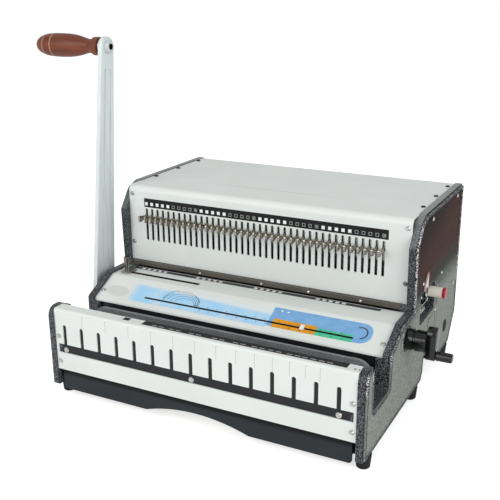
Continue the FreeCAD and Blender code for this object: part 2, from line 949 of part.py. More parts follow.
def jaw_bushes():
    """Two blocks behind the trough in which the jaw's rods slide."""
    front = trough_face + sheet
    span = (front, front + bush_block_deep)
    body = block((rod_x - bush_block_half, rod_x + bush_block_half), span,
                 (rod_z - bush_block_half, rod_z + bush_block_half))
    body = body.cut(rod("y", (front - 1, span[1] + 1), rod_r + turn_fit, rod_x, rod_z))
    return pair(body)


def slide_guides():
    """Channels on the frames that guide the punch slides up and down."""
    front = slide_riser_y[0] - slide_gap
    rear = slide_riser_y[1] + slide_gap
    channel = prism("z", guide_z, [
        (frame_inner, front - guide_lip), (frame_inner, rear + guide_lip),
        (slide_inner, rear + guide_lip), (slide_inner, rear),
        (guide_face, rear), (guide_face, front),
        (slide_inner, front), (slide_inner, front - guide_lip)])
    return pair(channel)


def drawer_rails():
    """Folded rails on the frames that carry the chip drawer."""
    top = tray_flange_z - slide_gap
    rail = prism("y", (rail_front, tray_rear), [
        (rail_inner, top - sheet), (frame_inner, top - sheet),
        (frame_inner, top + rail_rise), (frame_inner - sheet, top + rail_rise),
        (frame_inner - sheet, top), (rail_inner, top)])
    return pair(rail)


def gauge_brackets():
    """Plates on the frames that carry the back gauge shaft."""
    y = (gauge_y - bracket_half, gauge_y + bracket_half)
    z = (gauge_z - bracket_drop, gauge_z + bracket_rise)
    plate = prism("x", (guide_face, frame_inner), [
        (y[0], z[0], edge_round), (y[1], z[0], edge_round),
        (y[1], z[1], brow_round), (y[0], z[1], brow_round)])
    bore = rod("x", (guide_face - 1, frame_inner + 1), gauge_shaft_r + turn_fit,
               gauge_y, gauge_z)
    return pair(plate.cut(bore))


def dial_scale():
    """The thin pointed plate above the window, on the side cover's panel."""
    face = body_half + cover_web
    return prism("x", (face, face + scale_thick), [
        (scale_y[0], scale_low), (scale_y[1], scale_low),
        (scale_y[1], scale_high[1], small_round), (scale_y[0], scale_high[0])])


def rubber_feet():
    """Round rubber feet under the frames, hollow for their screws."""
    feet = []
    for x in (-foot_x, foot_x):
        for y in foot_spots:
            foot = turned("z", x, y, [
                (0, 0), (0, foot_r - foot_taper - bar_edge), (bar_edge, foot_r - foot_taper),
                (base_z, foot_r), (base_z, 0)])
            foot = foot.cut([screw_hole("z", (foot_recess - 1, base_z + 1), x, y),
                             rod("z", (-1, foot_recess), screw_head_r + 1, x, y)])
            feet.append(foot)
    return group(feet)


def foot_screws():
    """Screws up through the feet into the frames."""
    deep = base_z - foot_recess + screw_long - 1
    screws = []
    for x in (-foot_x, foot_x):
        for y in foot_spots:
            screws.append(pan_screw("z", -1, foot_recess, x, y, deep))
    return group(screws)


def main_shaft():
    """The shaft across the machine that the lever turns."""
    span = (lever_x[0] - nut_thick - bar_edge, body_half - 1)
    return chamfered_rod("x", span, shaft_r, shaft_y, shaft_z)


def sine_gap(half):
    """How far a sine departs from a straight line over an angle each way, for a throw of 1."""
    worst = math.acos(math.sin(half) / half)
    return math.sin(worst) - worst / half * math.sin(half)


def crank_spot(throw, angle):
    """A crank pin's place at rest; the angle is from straight up toward the back."""
    return (shaft_y + throw * math.sin(angle), shaft_z + throw * math.cos(angle))


def bell_cranks():
    """Two cranks on the shaft: one arm closes the jaw, the other pulls the punch."""
    jaw_eye = crank_spot(jaw_throw, half_turn)
    punch_eye = crank_spot(punch_throw, half_turn - math.pi / 2)
    span = (crank_inner, crank_outer)
    centre = (shaft_y, shaft_z)
    crank = link("x", span, centre, crank_hub_r, jaw_eye, crank_eye_r)
    crank = crank.fuse(link("x", span, centre, crank_hub_r, punch_eye, crank_eye_r))
    wide = (crank_inner - 1, crank_outer + 1)
    crank = crank.cut([
        rod("x", wide, shaft_r, *centre),
        rod("x", wide, crank_pin_r, *jaw_eye),
        rod("x", wide, crank_pin_r, *punch_eye)])
    return pair(crank.removeSplitter())


def crank_pins():
    """The pins of the cranks: long ones toward the jaw arms, short ones to the slides."""
    jaw_eye = crank_spot(jaw_throw, half_turn)
    punch_eye = crank_spot(punch_throw, half_turn - math.pi / 2)
    jaw_pin = rod("x", (arm_inner, crank_outer), crank_pin_r, *jaw_eye)
    punch_pin = rod("x", (crank_inner, slide_outer), crank_pin_r, *punch_eye)
    return group([jaw_pin, mirrored(jaw_pin), punch_pin, mirrored(punch_pin)])


def lever_hub():
    """The boss between the left frame and the lever."""
    span = (lever_x[1], -body_half - 1)
    hub = rod("x", span, hub_r, shaft_y, shaft_z)
    return hub.cut(rod("x", (span[0] - 1, span[1] + 1), shaft_r, shaft_y, shaft_z))


def arm_spot(share, sideways):
    """A place on the lever, by its share of the length and its distance from the middle."""
    lean = math.radians(lever_lean)
    reach = lever_length * share
    return (shaft_y + reach * math.sin(lean) + sideways * math.cos(lean),
            shaft_z + reach * math.cos(lean) - sideways * math.sin(lean))


def lever_arm():
    """The long flat lever, tapered, with two flutes along each side."""
    root = (shaft_y, shaft_z)
    tip = (lever_top_y, lever_top_z)
    arm = link("x", lever_x, root, lever_root_r, tip, lever_tip_r)
    cuts = [
        rod("x", (lever_x[0] - 1, lever_x[1] + 1), shaft_r, *root),
        rod("x", (lever_x[0] - 1, lever_x[1] + 1), grip_bolt_r, *tip)]
    for side, outward in zip(lever_x, (-1, 1)):
        span = (side - outward * flute_deep, side + outward)
        for shift in (-flute_shift, flute_shift):
            low = arm_spot(flute_share[0], shift * 1.5)
            high = arm_spot(flute_share[1], shift)
            cuts.append(link("x", span, low, flute_r[0], high, flute_r[1]))
    return arm.cut(cuts)


def hexagon(span, radius, y, z):
    """A hexagonal bar along X; the radius is to its corners."""
    angles = [math.radians(60 * i + 30) for i in range(6)]
    return prism("x", span, [(y + radius * math.cos(t), z + radius * math.sin(t))
                             for t in angles])


def lever_nut():
    """The hexagon nut on the shaft's end."""
    x = (lever_x[0] - nut_thick, lever_x[0])
    nut = hexagon(x, nut_r, shaft_y, shaft_z)
    return nut.cut(rod("x", (x[0] - 1, x[1] + 1), shaft_r, shaft_y, shaft_z))


def grip_bolt():
    """The bolt that carries the grip, its black head on the inner side of the lever."""
    near = lever_x[1]
    head = near + bolt_head
    bolt = turned("x", lever_top_y, lever_top_z, [
        (grip_bolt_x, 0), (grip_bolt_x, grip_bolt_r), (near, grip_bolt_r),
        (near, bolt_head_r), (head - 2 * bar_edge, bolt_head_r),
        (head, bolt_head_r - 2 * bar_edge), (head, 0)])
    return bolt.cut(hexagon((head - socket_deep, head + 1), socket_r,
                            lever_top_y, lever_top_z))


def lever_grip():
    """The turned wooden grip, free to spin on its bolt."""
    near = grip_x[1]
    far = grip_x[0]
    bore = grip_bolt_r + turn_fit
    outline = [(near - run, r, rounding) for run, r, rounding in grip_profile]
    return turned("x", lever_top_y, lever_top_z, [
        (near, bore), *outline, (far, grip_end_r, grip_end_round), (far, 0),
        (grip_bolt_x - 1, 0), (grip_bolt_x - 1, bore)])


def grip_collar():
    """The washer between the lever and the grip."""
    return turned("x", lever_top_y, lever_top_z, [
        (grip_x[1] + slide_gap, grip_bolt_r), (grip_x[1] + slide_gap, collar_r),
        (lever_x[0], collar_r), (lever_x[0], grip_bolt_r)])


def punch_bar():
    """The heavy bar that carries the forty pins; a front groove takes the pulls."""
    bar = block((-slide_inner, slide_inner), bar_y, bar_z)
    x, y, low = spring_spot()
    half = spring_seat_half
    lug = prism("z", (bar_z[1] - bar_lug_z[0], bar_z[1] - bar_lug_z[1]), [
        (x - half, bar_y[1]), (x + half, bar_y[1]),
        (x + half, y + half - 1, corner_round), (x - half, y + half - 1, corner_round)])
    bar = bar.fuse([lug, mirrored(lug)])
    half = pin_pitch * pin_count / 2
    groove = block((pin_row_x - half, pin_row_x + half), (bar_y[0] - 1, groove_rear), groove_z)
    return bar.cut([groove] + square_holes((bar_z[0] - 1, groove_z[0] + 1), pin_side))


def punch_slides():
    """Side plates that link the punch bar to the cranks."""
    eye_y = shaft_y - punch_throw
    rest_y = shaft_y - punch_throw * math.cos(half_turn)
    rest_z = shaft_z + punch_travel / 2
    tall = crank_pin_r + slot_play + punch_throw * sine_gap(half_turn)
    wide = crank_pin_r + slot_play
    foot = rest_z - tall - arm_wall
    plate = prism("x", (slide_inner, slide_outer), [
        (slide_leg_y[0], foot, edge_round), (slide_leg_y[1], foot, edge_round),
        (slide_leg_y[1], slide_bar_z[0], edge_round),
        (slide_riser_y[1], slide_bar_z[0], brow_round),
        (slide_riser_y[1], bar_z[1]), (slide_riser_y[0], bar_z[1]),
        (slide_riser_y[0], slide_bar_z[1], corner_round),
        (slide_leg_y[0], slide_bar_z[1], corner_round)])
    slot = slot_tool("x", (slide_inner - 1, slide_outer + 1),
                     (eye_y - wide, rest_y + wide), (rest_z - tall, rest_z + tall),
                     2 * crank_pin_r)
    return pair(plate.cut(slot))


def punch_pins():
    """Forty square punch pins."""
    return group(square_holes((pin_tip_z, groove_z[0]), pin_side))


def pin_pull(x):
    """One pull: a thin flared tab with a rivet, its blade over the pin's head."""
    middle = (groove_z[0] + groove_z[1]) / 2
    neck = pull_neck / 2
    flare = pull_flare / 2
    span = (x - pull_thick / 2, x + pull_thick / 2)
    tab = prism("x", span, [
        (pull_rear, middle - neck), (pull_rear, middle + neck),
        (pull_neck_end, middle + neck), (pull_tip, middle + flare, small_round),
        (pull_tip, middle - flare, small_round), (pull_neck_end, middle - neck)])
    wide = (span[0] - pull_rivet_rise, span[1] + pull_rivet_rise)
    return tab.fuse(rod("x", wide, pull_rivet, pull_rivet_y, middle))


def pin_pulls(first):
    """Ten pulls side by side."""
    return group([pin_pull(x) for x in pin_places()[first:first + pulls_in_group]])


def jaw_plate():
    """The heavy closing plate, its upper corners rounded."""
    half = frame_inner - jaw_side_gap
    return prism("y", jaw_y, [
        (-half, jaw_z[0], 2), (half, jaw_z[0], 2),
        (half, jaw_z[1], jaw_corner), (-half, jaw_z[1], jaw_corner)])


def jaw_arms():
    """Arms behind the jaw, each with an upright slot for its crank pin."""
    rest_y = shaft_y + jaw_travel / 2
    low = shaft_z + jaw_throw * math.cos(half_turn) - crank_pin_r - slot_play
    high = shaft_z + jaw_throw + crank_pin_r + slot_play
    wide = crank_pin_r + slot_play + jaw_throw * sine_gap(half_turn)
    arm = prism("x", (arm_inner, arm_outer), [
        (jaw_y[1], arm_z[0]), (rest_y + wide + arm_wall, arm_z[0], corner_round),
        (rest_y + wide + arm_wall, arm_z[1], corner_round), (jaw_y[1], arm_z[1])])
    slot = slot_tool("x", (arm_inner - 1, arm_outer + 1),
                     (rest_y - wide, rest_y + wide), (low, high), 2 * crank_pin_r)
    return pair(arm.cut(slot))


def jaw_rods():
    """Rods that keep the jaw square as it moves."""
    return pair(rod("y", (jaw_y[1], rod_end), rod_r, rod_x, rod_z))


def lead_screw():
    """The screw that carries the size pointer."""
    left = pointer_x + pointer_travel[0] - nut_half - hanger_thick - 5
    return rod("x", (left, screw_end_x), screw_r, screw_y, screw_z)


def hand_crank():
    """The black crank outside the right cover."""
    near, far = knob_hub_x
    groove = knob_groove_x
    hub = turned("x", screw_y, screw_z, [
        (near, 0), (near, knob_hub_r), (groove - bar_edge, knob_hub_r),
        (groove, knob_hub_r - bar_edge), (groove + bar_edge, knob_hub_r),
        (far, knob_hub_r), (far, 0)])
    arm = link("x", hand_arm_x, hand_arm_top, hand_arm_top_r, hand_arm_low, hand_arm_low_r)
    rim = [e for e in arm.Edges if e.BoundBox.XMin > hand_arm_x[1] - 0.1]
    crank = hub.fuse(arm.makeChamfer(bar_edge, rim))
    bore = rod("x", (near - 1, screw_end_x), screw_r, screw_y, screw_z)
    spindle = rod("x", (spindle_x[0], hand_arm_x[1] + 1), spindle_r, *hand_arm_low)
    return crank.cut([bore, spindle]).removeSplitter()


def hand_crank_spindle():
    """The pin on which the small grip spins."""
    return rod("x", spindle_x, spindle_r, *hand_arm_low)


def hand_grip():
    """The small grip of the crank."""
    near = hand_arm_x[1] + slide_gap
    grip = chamfered_rod("x", (near, hand_grip_end), hand_grip_r, *hand_arm_low)
    bore = rod("x", (near - 1, spindle_x[1] + slide_gap), spindle_r + turn_fit, *hand_arm_low)
    return grip.cut(bore)


def pointer_nut():
    """The block on the lead screw, with an arm that reaches under the slope."""
    span = (pointer_x - nut_half, pointer_x + nut_half)
    nut = prism("x", span, [
        (nut_y[0], nut_z[0], 2), (nut_y[1], nut_z[0], 2),
        (nut_y[1], nut_z[1], 2), (nut_y[0], nut_z[1], 2)])
    arm = block((pointer_x - 5, pointer_x + 5), (pointer_slot_y - 4, nut_y[0] + 3),
                (nut_z[0], nut_z[0] + 4))
    nut = nut.fuse(arm)
    bore = rod("x", (span[0] - 1, span[1] + 1), screw_r + turn_fit, screw_y, screw_z)
    return nut.cut(bore).removeSplitter()


def size_pointer():
    """The small pointer that shows above the slope, on its stem."""
    low = nut_z[0] + 4
    high = slope_height(pointer_slot_y) + pointer_rise + pointer_flag[2] / 2
    half_x, half_y = pointer_stem[0] / 2, pointer_stem[1] / 2
    stem = block((pointer_x - half_x, pointer_x + half_x),
                 (pointer_slot_y - half_y, pointer_slot_y + half_y), (low, high))
    wide, deep, thick = pointer_flag
    front, rear = pointer_slot_y - deep / 2, pointer_slot_y + deep / 2
    under = pointer_rise
    over = pointer_rise + thick
    flag = prism("x", (pointer_x - wide / 2, pointer_x + wide / 2), [
        (front, slope_height(front) + under), (rear, slope_height(rear) + under),
        (rear, slope_height(rear) + over), (front, slope_height(front) + over)])
    return stem.fuse(flag).removeSplitter()


def side_guide():
    """The sliding paper stop: a flat plate with an arm that reaches into the throat."""
    x = side_guide_x
    half = guide_plate_half
    left, right = x + guide_arm[0], x + guide_arm[1]
    plate = prism("z", (guide_plate_low, guide_plate_high), [
        (left, guide_slot_y - half, edge_round), (x + half, guide_slot_y - half, edge_round),
        (x + half, guide_slot_y + half, edge_round),
        (right, guide_slot_y + 1.5 * half, edge_round), (right, guide_reach),
        (left, guide_reach)])
    under = table_top - table_sheet - slide_gap
    nut = rod("z", (under - guide_nut_thick, under), guide_nut_r, x, guide_slot_y)
    stud = rod("z", (under, guide_stud_top), guide_stud_r, x, guide_slot_y)
    return plate.fuse([nut, stud])


def thumb_screw():
    """The knurled screw that locks the side guide."""
    x = side_guide_x
    foot = guide_plate_high + slide_gap
    neck, top = thumb_head_z
    bore = guide_stud_top + 2 * slide_gap
    head = turned("z", x, guide_slot_y, [
        (foot, guide_stud_r + turn_fit), (foot, thumb_collar_r), (foot + 2, thumb_collar_r),
        (foot + 2, thumb_stem_r), (neck, thumb_stem_r), (neck, thumb_r),
        (top - bar_edge, thumb_r), (top, thumb_r - bar_edge), (top, 0), (bore, 0),
        (bore, guide_stud_r + turn_fit)])
    flutes = []
    for i in range(thumb_flutes):
        angle = 2 * math.pi * i / thumb_flutes
        reach = thumb_r + thumb_flute_r / 3
        flutes.append(rod("z", (neck - 1, top + 1), thumb_flute_r, x + reach * math.cos(angle),
                          guide_slot_y + reach * math.sin(angle)))
    return head.cut(flutes)


def gauge_shaft():
    """The shaft of the back gauge with its two eccentrics."""
    span = (-frame_inner, cover_face + 5)
    shaft = rod("x", span, gauge_shaft_r, gauge_y, gauge_z)
    for side in (-1, 1):
        x = side * gauge_tab_x
        cam = rod("x", (x - gauge_tab_thick / 2, x + gauge_tab_thick / 2), eccentric_r,
                  gauge_y, gauge_z + eccentric_throw)
        shaft = shaft.fuse(cam)
    return shaft


def margin_dial():
    """The cream knob of the back gauge."""
    near, far, _ = dial_x
    return turned("x", gauge_y, gauge_z, [
        (near, gauge_shaft_r), (near, dial_r), (far, dial_r),
        (far, 0), (cover_face + 5, 0), (cover_face + 5, gauge_shaft_r)])


def dial_cap():
    """The red ring on the knob's end."""
    _, near, far = dial_x
    return turned("x", gauge_y, gauge_z, [
        (near, 0), (near, dial_r), (far - dial_edge, dial_r), (far, dial_r - dial_edge),
        (far, 0)])


def back_gauge():
    """The blade behind the pins that stops the paper, with tabs round the eccentrics."""
    tab_y = (gauge_y - bracket_half, gauge_y + bracket_half)
    blade = block((-gauge_half, gauge_half), (gauge_front, tab_y[0]), gauge_blade_z)
    pieces = []
    wide = eccentric_r + slot_play + eccentric_throw * sine_gap(math.radians(gauge_turn))
    low = gauge_z + eccentric_throw * math.cos(math.radians(gauge_turn)) - eccentric_r
    high = gauge_z + eccentric_throw + eccentric_r
    cuts = []
    for side in (-1, 1):
        x = side * gauge_tab_x
        span = (x - gauge_tab_thick / 2, x + gauge_tab_thick / 2)
        pieces.append(prism("x", span, [
            (tab_y[0] - 6, gauge_blade_z[0]), (tab_y[0], low - 4), (tab_y[1], low - 4, 5),
            (tab_y[1], high + 4, 5), (tab_y[0], high + 4, 5), (tab_y[0] - 6, gauge_blade_z[1])]))
        cuts.append(prism("x", (span[0] - 1, span[1] + 1), [
            (gauge_y - wide, low - slot_play, 6), (gauge_y + wide, low - slot_play, 6),
            (gauge_y + wide, high + slot_play, 6), (gauge_y - wide, high + slot_play, 6)]))
    return blade.fuse(pieces).cut(cuts)


def drawer_front():
    """The black skirt that pulls out as the front of the chip drawer."""
    rear = drawer_face_y + drawer_face
    face = prism("y", (drawer_face_y, rear), [
        (-drawer_half, drawer_low, edge_round), (drawer_half, drawer_low, edge_round),
        (drawer_half, drawer_high), (-drawer_half, drawer_high)])
    arch_r = (drawer_arch_half ** 2 / drawer_arch_rise + drawer_arch_rise) / 2
    arch_z = drawer_low + drawer_arch_rise - arch_r
    face = face.cut(rod("y", (drawer_face_y - 1, rear + 1), arch_r, 0, arch_z))
    end = block((drawer_half - drawer_face, drawer_half), (rear, drawer_face_y + drawer_end),
                (tray_floor, drawer_high))
    return face.fuse([end, mirrored(end)])


def chip_tray():
    """The folded tray behind the skirt that catches the chips."""
    rear = tray_rear
    front = drawer_face_y + drawer_face
    tray = prism("y", (front, rear), [
        (-tray_half, tray_floor), (tray_half, tray_floor), (tray_half, tray_top),
        (-tray_half, tray_top)])
    inside = block((-tray_half + sheet, tray_half - sheet), (front + sheet, rear - sheet),
                   (tray_floor + sheet, tray_top + 1))
    tray = tray.cut(inside)
    flange = block((tray_half, tray_half + tray_flange), (front, rear),
                   (tray_flange_z, tray_flange_z + sheet))
    return tray.fuse([flange, mirrored(flange)])


def all_pieces():
    """Every piece of the machine, by name."""
    pieces = {
        "left_frame": left_frame(),
        "right_frame": right_frame(),
        "right_side_cover": side_cover(),
        "front_panel": front_panel(),
        "panel_screws": panel_screws(),
        "comb_bar": comb_bar(),
        "comb_bar_spacers": comb_bar_spacers(),
        "comb_bar_screws": comb_bar_screws(),
        "anvil_beam": anvil_beam(),
        "closer_trough": closer_trough(),
        "table_plate": table_plate(),
        "die_plate": die_plate(),
        "pin_guide": pin_guide(),
        "spring_seats": spring_seats(),
        "return_springs": return_springs(),
        "upper_cover": upper_cover(),
        "back_panel": back_panel(),
        "rear_floor": rear_floor(),
        "shaft_bushes": shaft_bushes(),
        "selector_bearings": selector_bearings(),
        "jaw_bushes": jaw_bushes(),
        "slide_guides": slide_guides(),
        "drawer_rails": drawer_rails(),
        "gauge_brackets": gauge_brackets(),
        "dial_scale": dial_scale(),
        "rubber_feet": rubber_feet(),
        "foot_screws": foot_screws(),
        "main_shaft": main_shaft(),
        "bell_cranks": bell_cranks(),
        "crank_pins": crank_pins(),
        "lever_hub": lever_hub(),
        "lever_arm": lever_arm(),
        "lever_nut": lever_nut(),
        "grip_bolt": grip_bolt(),
        "grip_collar": grip_collar(),
        "lever_grip": lever_grip(),
        "punch_bar": punch_bar(),
        "punch_slides": punch_slides(),
        "punch_pins": punch_pins(),
        "jaw_plate": jaw_plate(),
        "jaw_arms": jaw_arms(),
        "jaw_rods": jaw_rods(),
        "lead_screw": lead_screw(),
        "hand_crank": hand_crank(),
        "hand_crank_spindle": hand_crank_spindle(),
        "hand_grip": hand_grip(),
        "pointer_nut": pointer_nut(),
        "size_pointer": size_pointer(),
        "side_guide": side_guide(),
        "thumb_screw": thumb_screw(),
        "gauge_shaft": gauge_shaft(),
        "margin_dial": margin_dial(),
        "dial_cap": dial_cap(),
        "back_gauge": back_gauge(),
        "drawer_front": drawer_front(),
        "chip_tray": chip_tray(),
    }
    for first in range(0, pin_count, pulls_in_group):
        name = f"pin_pulls_{first + 1}_{first + pulls_in_group}"
        pieces[name] = pin_pulls(first)
    return pieces


def footprint_middle(pieces):
    """The middle of the whole machine's footprint, at the height of the feet."""
    box = FreeCAD.BoundBox()
    for shape in pieces.values():
        box.add(shape.optimalBoundingBox(False))
    return V(box.Center.x, box.Center.y, box.ZMin)


pieces = all_pieces()
origin = footprint_middle(pieces)
os.makedirs("parts", exist_ok=True)
for name, shape in pieces.items():
    shape.translate(origin * -1)
    shape.exportStep(f"parts/{name}.step")
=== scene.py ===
# %% [markdown]
# # A wire binding machine for the desk
#
# The machine punches a row of forty square holes and closes wire loops. Its solids come from
# the frame, already at their real size. This lesson gives them their finishes and adds the
# printed labels, the rivets and the small parts that the eye looks for.

# %% Load the frame
import math

import bmesh
import bpy
from mathutils import Matrix, Vector


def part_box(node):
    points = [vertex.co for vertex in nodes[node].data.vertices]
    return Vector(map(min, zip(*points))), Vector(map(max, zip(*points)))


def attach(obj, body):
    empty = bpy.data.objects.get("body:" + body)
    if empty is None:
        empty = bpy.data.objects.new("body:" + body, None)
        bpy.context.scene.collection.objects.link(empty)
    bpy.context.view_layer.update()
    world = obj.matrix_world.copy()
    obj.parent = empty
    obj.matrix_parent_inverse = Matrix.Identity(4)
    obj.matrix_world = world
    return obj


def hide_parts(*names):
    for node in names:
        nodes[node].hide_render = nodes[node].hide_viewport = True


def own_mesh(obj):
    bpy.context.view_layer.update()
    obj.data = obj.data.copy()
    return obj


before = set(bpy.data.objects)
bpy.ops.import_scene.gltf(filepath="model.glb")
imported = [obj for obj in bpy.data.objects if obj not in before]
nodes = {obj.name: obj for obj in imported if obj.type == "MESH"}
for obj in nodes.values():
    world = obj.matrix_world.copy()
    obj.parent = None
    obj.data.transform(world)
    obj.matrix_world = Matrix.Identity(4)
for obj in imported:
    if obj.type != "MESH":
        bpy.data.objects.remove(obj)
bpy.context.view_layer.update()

# %% [markdown]
# ## Places on the machine
#
# The real machine is measured from three planes: the middle between its cheeks, the face of
# its front sheet and the desk under its feet. The front sheet's own box gives the first two,
# so that every place below is a plain millimetre value from those planes.

# %% Millimetres from the middle, the front sheet and the desk
MM = 0.001
sheet_low, sheet_high = (Vector(corner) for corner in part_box("front_panel"))
MIDDLE_X = (sheet_low.x + sheet_high.x) / 2
FRONT_Y = sheet_low.y


def at(x, y, z):
    """A place in metres from millimetres off the middle, the front sheet and the desk."""
    return Vector((MIDDLE_X + x * MM, FRONT_Y + y * MM, z * MM))


print("middle", round(MIDDLE_X, 4), "front", round(FRONT_Y, 4))

# %% [markdown]
# ## The camera
#
# The photograph was taken from the right and a little above. The camera stands where the row
# of slots, the upright edges and the feet all fall on their places in the picture. It is a
# long lens for a small product, so the uprights lean in only a little.

# %% Camera
PICTURE_PIXELS = 500.0
FOCAL_PIXELS = 813.5
SENSOR_MM = 36.0
AZIMUTH = math.radians(27.33)
ELEVATION = math.radians(18.06)
ROLL = math.radians(-0.36)
DISTANCE = 833.4 * MM
TARGET = at(73.3, 0, 230.5)


def camera_matrix():
    """The camera's place and turn from its angles round the target."""
    back = Vector((math.sin(AZIMUTH) * math.cos(ELEVATION),
                   -math.cos(AZIMUTH) * math.cos(ELEVATION), math.sin(ELEVATION)))
    right = (-back).cross(Vector((0, 0, 1))).normalized()
    up = right.cross(-back)
    side = right * math.cos(ROLL) + up * math.sin(ROLL)
    top = -right * math.sin(ROLL) + up * math.cos(ROLL)
    turn = Matrix((side, top, back)).transposed().to_4x4()
    return Matrix.Translation(TARGET + back * DISTANCE) @ turn


lens = bpy.data.cameras.new("camera")
lens.sensor_width = SENSOR_MM
lens.lens = FOCAL_PIXELS * SENSOR_MM / PICTURE_PIXELS
lens.clip_end = 50
camera = bpy.data.objects.new("camera", lens)
camera.matrix_world = camera_matrix()
bpy.context.scene.collection.objects.link(camera)
bpy.context.scene.camera = camera
print("lens", round(lens.lens, 2), "mm")

# %% [markdown]
# ## Colours and pattern sizes
#
# Paint chips are read as sRGB, while shaders count in linear light, so one function turns a
# hex value into linear light. A pattern's scale is worked out from the real size of what it
# shows, such as a fleck or a groove.

# %% Colours and pattern sizes
def colour(code):
    """A linear colour from an sRGB hex value."""
    parts = [int(code[i:i + 2], 16) / 255 for i in (1, 3, 5)]
    return tuple(p / 12.92 if p <= 0.04045 else ((p + 0.055) / 1.055) ** 2.4
                 for p in parts) + (1.0,)


def per(size_mm):
    """The scale of a pattern whose features have a real size."""
    return 1 / (size_mm * MM)


print("mid grey in linear light:", [round(part, 3) for part in colour("#808080")])

# %% [markdown]
# ## Shader nodes
#
# One function adds a node of any kind. Its inputs are plain values, or sockets and nodes to
# link, and a node stands for the output that its settings leave in use. A Mix node has its two
# colours at inputs six and seven, so those have names. Each finish starts from the same
# shader, with its even values set on the shader itself.

# %% Shader nodes
FIRST, SECOND = 6, 7


def feed(piece, inputs):
    """Set a node's inputs to plain values, or link them to sockets and nodes."""
    for key, value in inputs.items():
        if isinstance(value, bpy.types.Node):
            value = next(out for out in value.outputs if out.enabled)
        if isinstance(value, bpy.types.NodeSocket):
            piece.id_data.links.new(value, piece.inputs[key])
        else:
            piece.inputs[key].default_value = value


def add(tree, kind, inputs=None, **settings):
    """Add a node with its own settings, and feed its inputs."""
    piece = tree.nodes.new("ShaderNode" + kind)
    for key, value in settings.items():
        setattr(piece, key, value)
    feed(piece, inputs or {})
    return piece


def start_finish(name, roughness, metallic=0.0, specular=0.5):
    """A new material with its shader; gives the material, its tree, shader and coordinates."""
    finish = bpy.data.materials.new(name)
    finish.use_nodes = True
    tree = finish.node_tree
    shader = tree.nodes["Principled BSDF"]
    feed(shader, {"Roughness": roughness, "Metallic": metallic, "Specular IOR Level": specular})
    place = add(tree, "TexCoord").outputs["Object"]
    return finish, tree, shader, place


finishes = {}
print("node helpers ready")

# %% [markdown]
# ## Hammered enamel on the cast cheeks
#
# The cheeks are cast metal under a hammered enamel: a dark grey lacquer that pulls itself into
# small cells with pale metallic flecks between them. Noise with a steep step gives the flecks,
# about a millimetre wide, and the same noise lifts the surface so that each cell catches light.
# Faces that look up, high on the cheeks, get a painted highlight in an even pale grey, and
# the right outer face gets painted shade: it keeps the dark lacquer without flecks.

# %% Hammered enamel
OUTER_FACE_X = 202.9
HIGHLIGHT_TOP_Z = 180.0


def hammered_enamel(name, dark, pale, fleck_mm, low, high):
    """Dark enamel with pale flecks, a painted highlight on top and painted shade on the right
    outer face.
    """
    finish, tree, shader, place = start_finish(name, 0.34, 0.0, 0.25)
    where = add(tree, "SeparateXYZ", {0: place}).outputs
    facing = add(tree, "SeparateXYZ", {0: place.node.outputs["Normal"]}).outputs
    cells = add(tree, "TexNoise", {"Vector": place, "Scale": per(fleck_mm), "Detail": 2.5})
    flecks = add(tree, "MapRange", {"Value": cells, "From Min": low, "From Max": high})
    drift = add(tree, "TexNoise", {"Vector": place, "Scale": per(16.0)})
    cloud = add(tree, "MapRange", {"Value": drift, "From Min": 0.3, "From Max": 0.7,
                                   "To Min": 0.7, "To Max": 1.0})
    # Painted shade: past the right outer face's X the flecks fade out, leaving dark lacquer.
    edge = at(OUTER_FACE_X, 0, 0).x
    inner = add(tree, "MapRange", {"Value": where["X"], "From Min": edge,
                                   "From Max": edge + 0.05 * MM, "To Min": 1.0, "To Max": 0.0})
    cloud = add(tree, "Math", {0: inner, 1: cloud}, operation="MULTIPLY")
    share = add(tree, "Math", {0: flecks, 1: cloud}, operation="MULTIPLY")
    tone = add(tree, "Mix", {0: share, FIRST: colour(dark), SECOND: colour(pale)},
               data_type="RGBA")
    # Painted highlight: faces that look up, high on the cheek, are mixed toward pale grey.
    upward = add(tree, "MapRange", {"Value": facing["Z"], "From Min": 0.4, "From Max": 0.8,
                                    "To Min": 0.0, "To Max": 0.5})
    high_up = add(tree, "MapRange", {"Value": where["Z"], "From Min": (HIGHLIGHT_TOP_Z - 10) * MM,
                                     "From Max": HIGHLIGHT_TOP_Z * MM})
    painted_highlight = add(tree, "Math", {0: upward, 1: high_up}, operation="MULTIPLY")
    feed(shader, {
        "Base Color": add(tree, "Mix", {0: painted_highlight, FIRST: tone, SECOND: colour("#A3A7A4")},
                          data_type="RGBA"),
        "Roughness": add(tree, "MapRange", {"Value": flecks, "To Min": 0.26, "To Max": 0.44}),
        "Normal": add(tree, "Bump", {"Height": cells, "Distance": 0.2 * MM})})
    return finish


# The cheeks' enamel is nearly black, so its flecks read as a fine sparkle.
finishes["cheek_enamel"] = hammered_enamel(
    "hammered_enamel_dark", "#17191B", "#878B92", 1.2, 0.46, 0.68)
# The jaw's enamel is paler and closer in tone, so it reads as an even mid grey.
finishes["jaw_enamel"] = hammered_enamel(
    "hammered_enamel_grey", "#55585A", "#A2A6A8", 1.1, 0.38, 0.64)
print("enamels:", len(finishes))

# %% [markdown]
# ## Paint on sheet metal
#
# The white sheets are powder coated: an even, slightly rough skin with a faint orange peel.
# The black parts have the same coat with less gloss. The peel is about a millimetre wide.

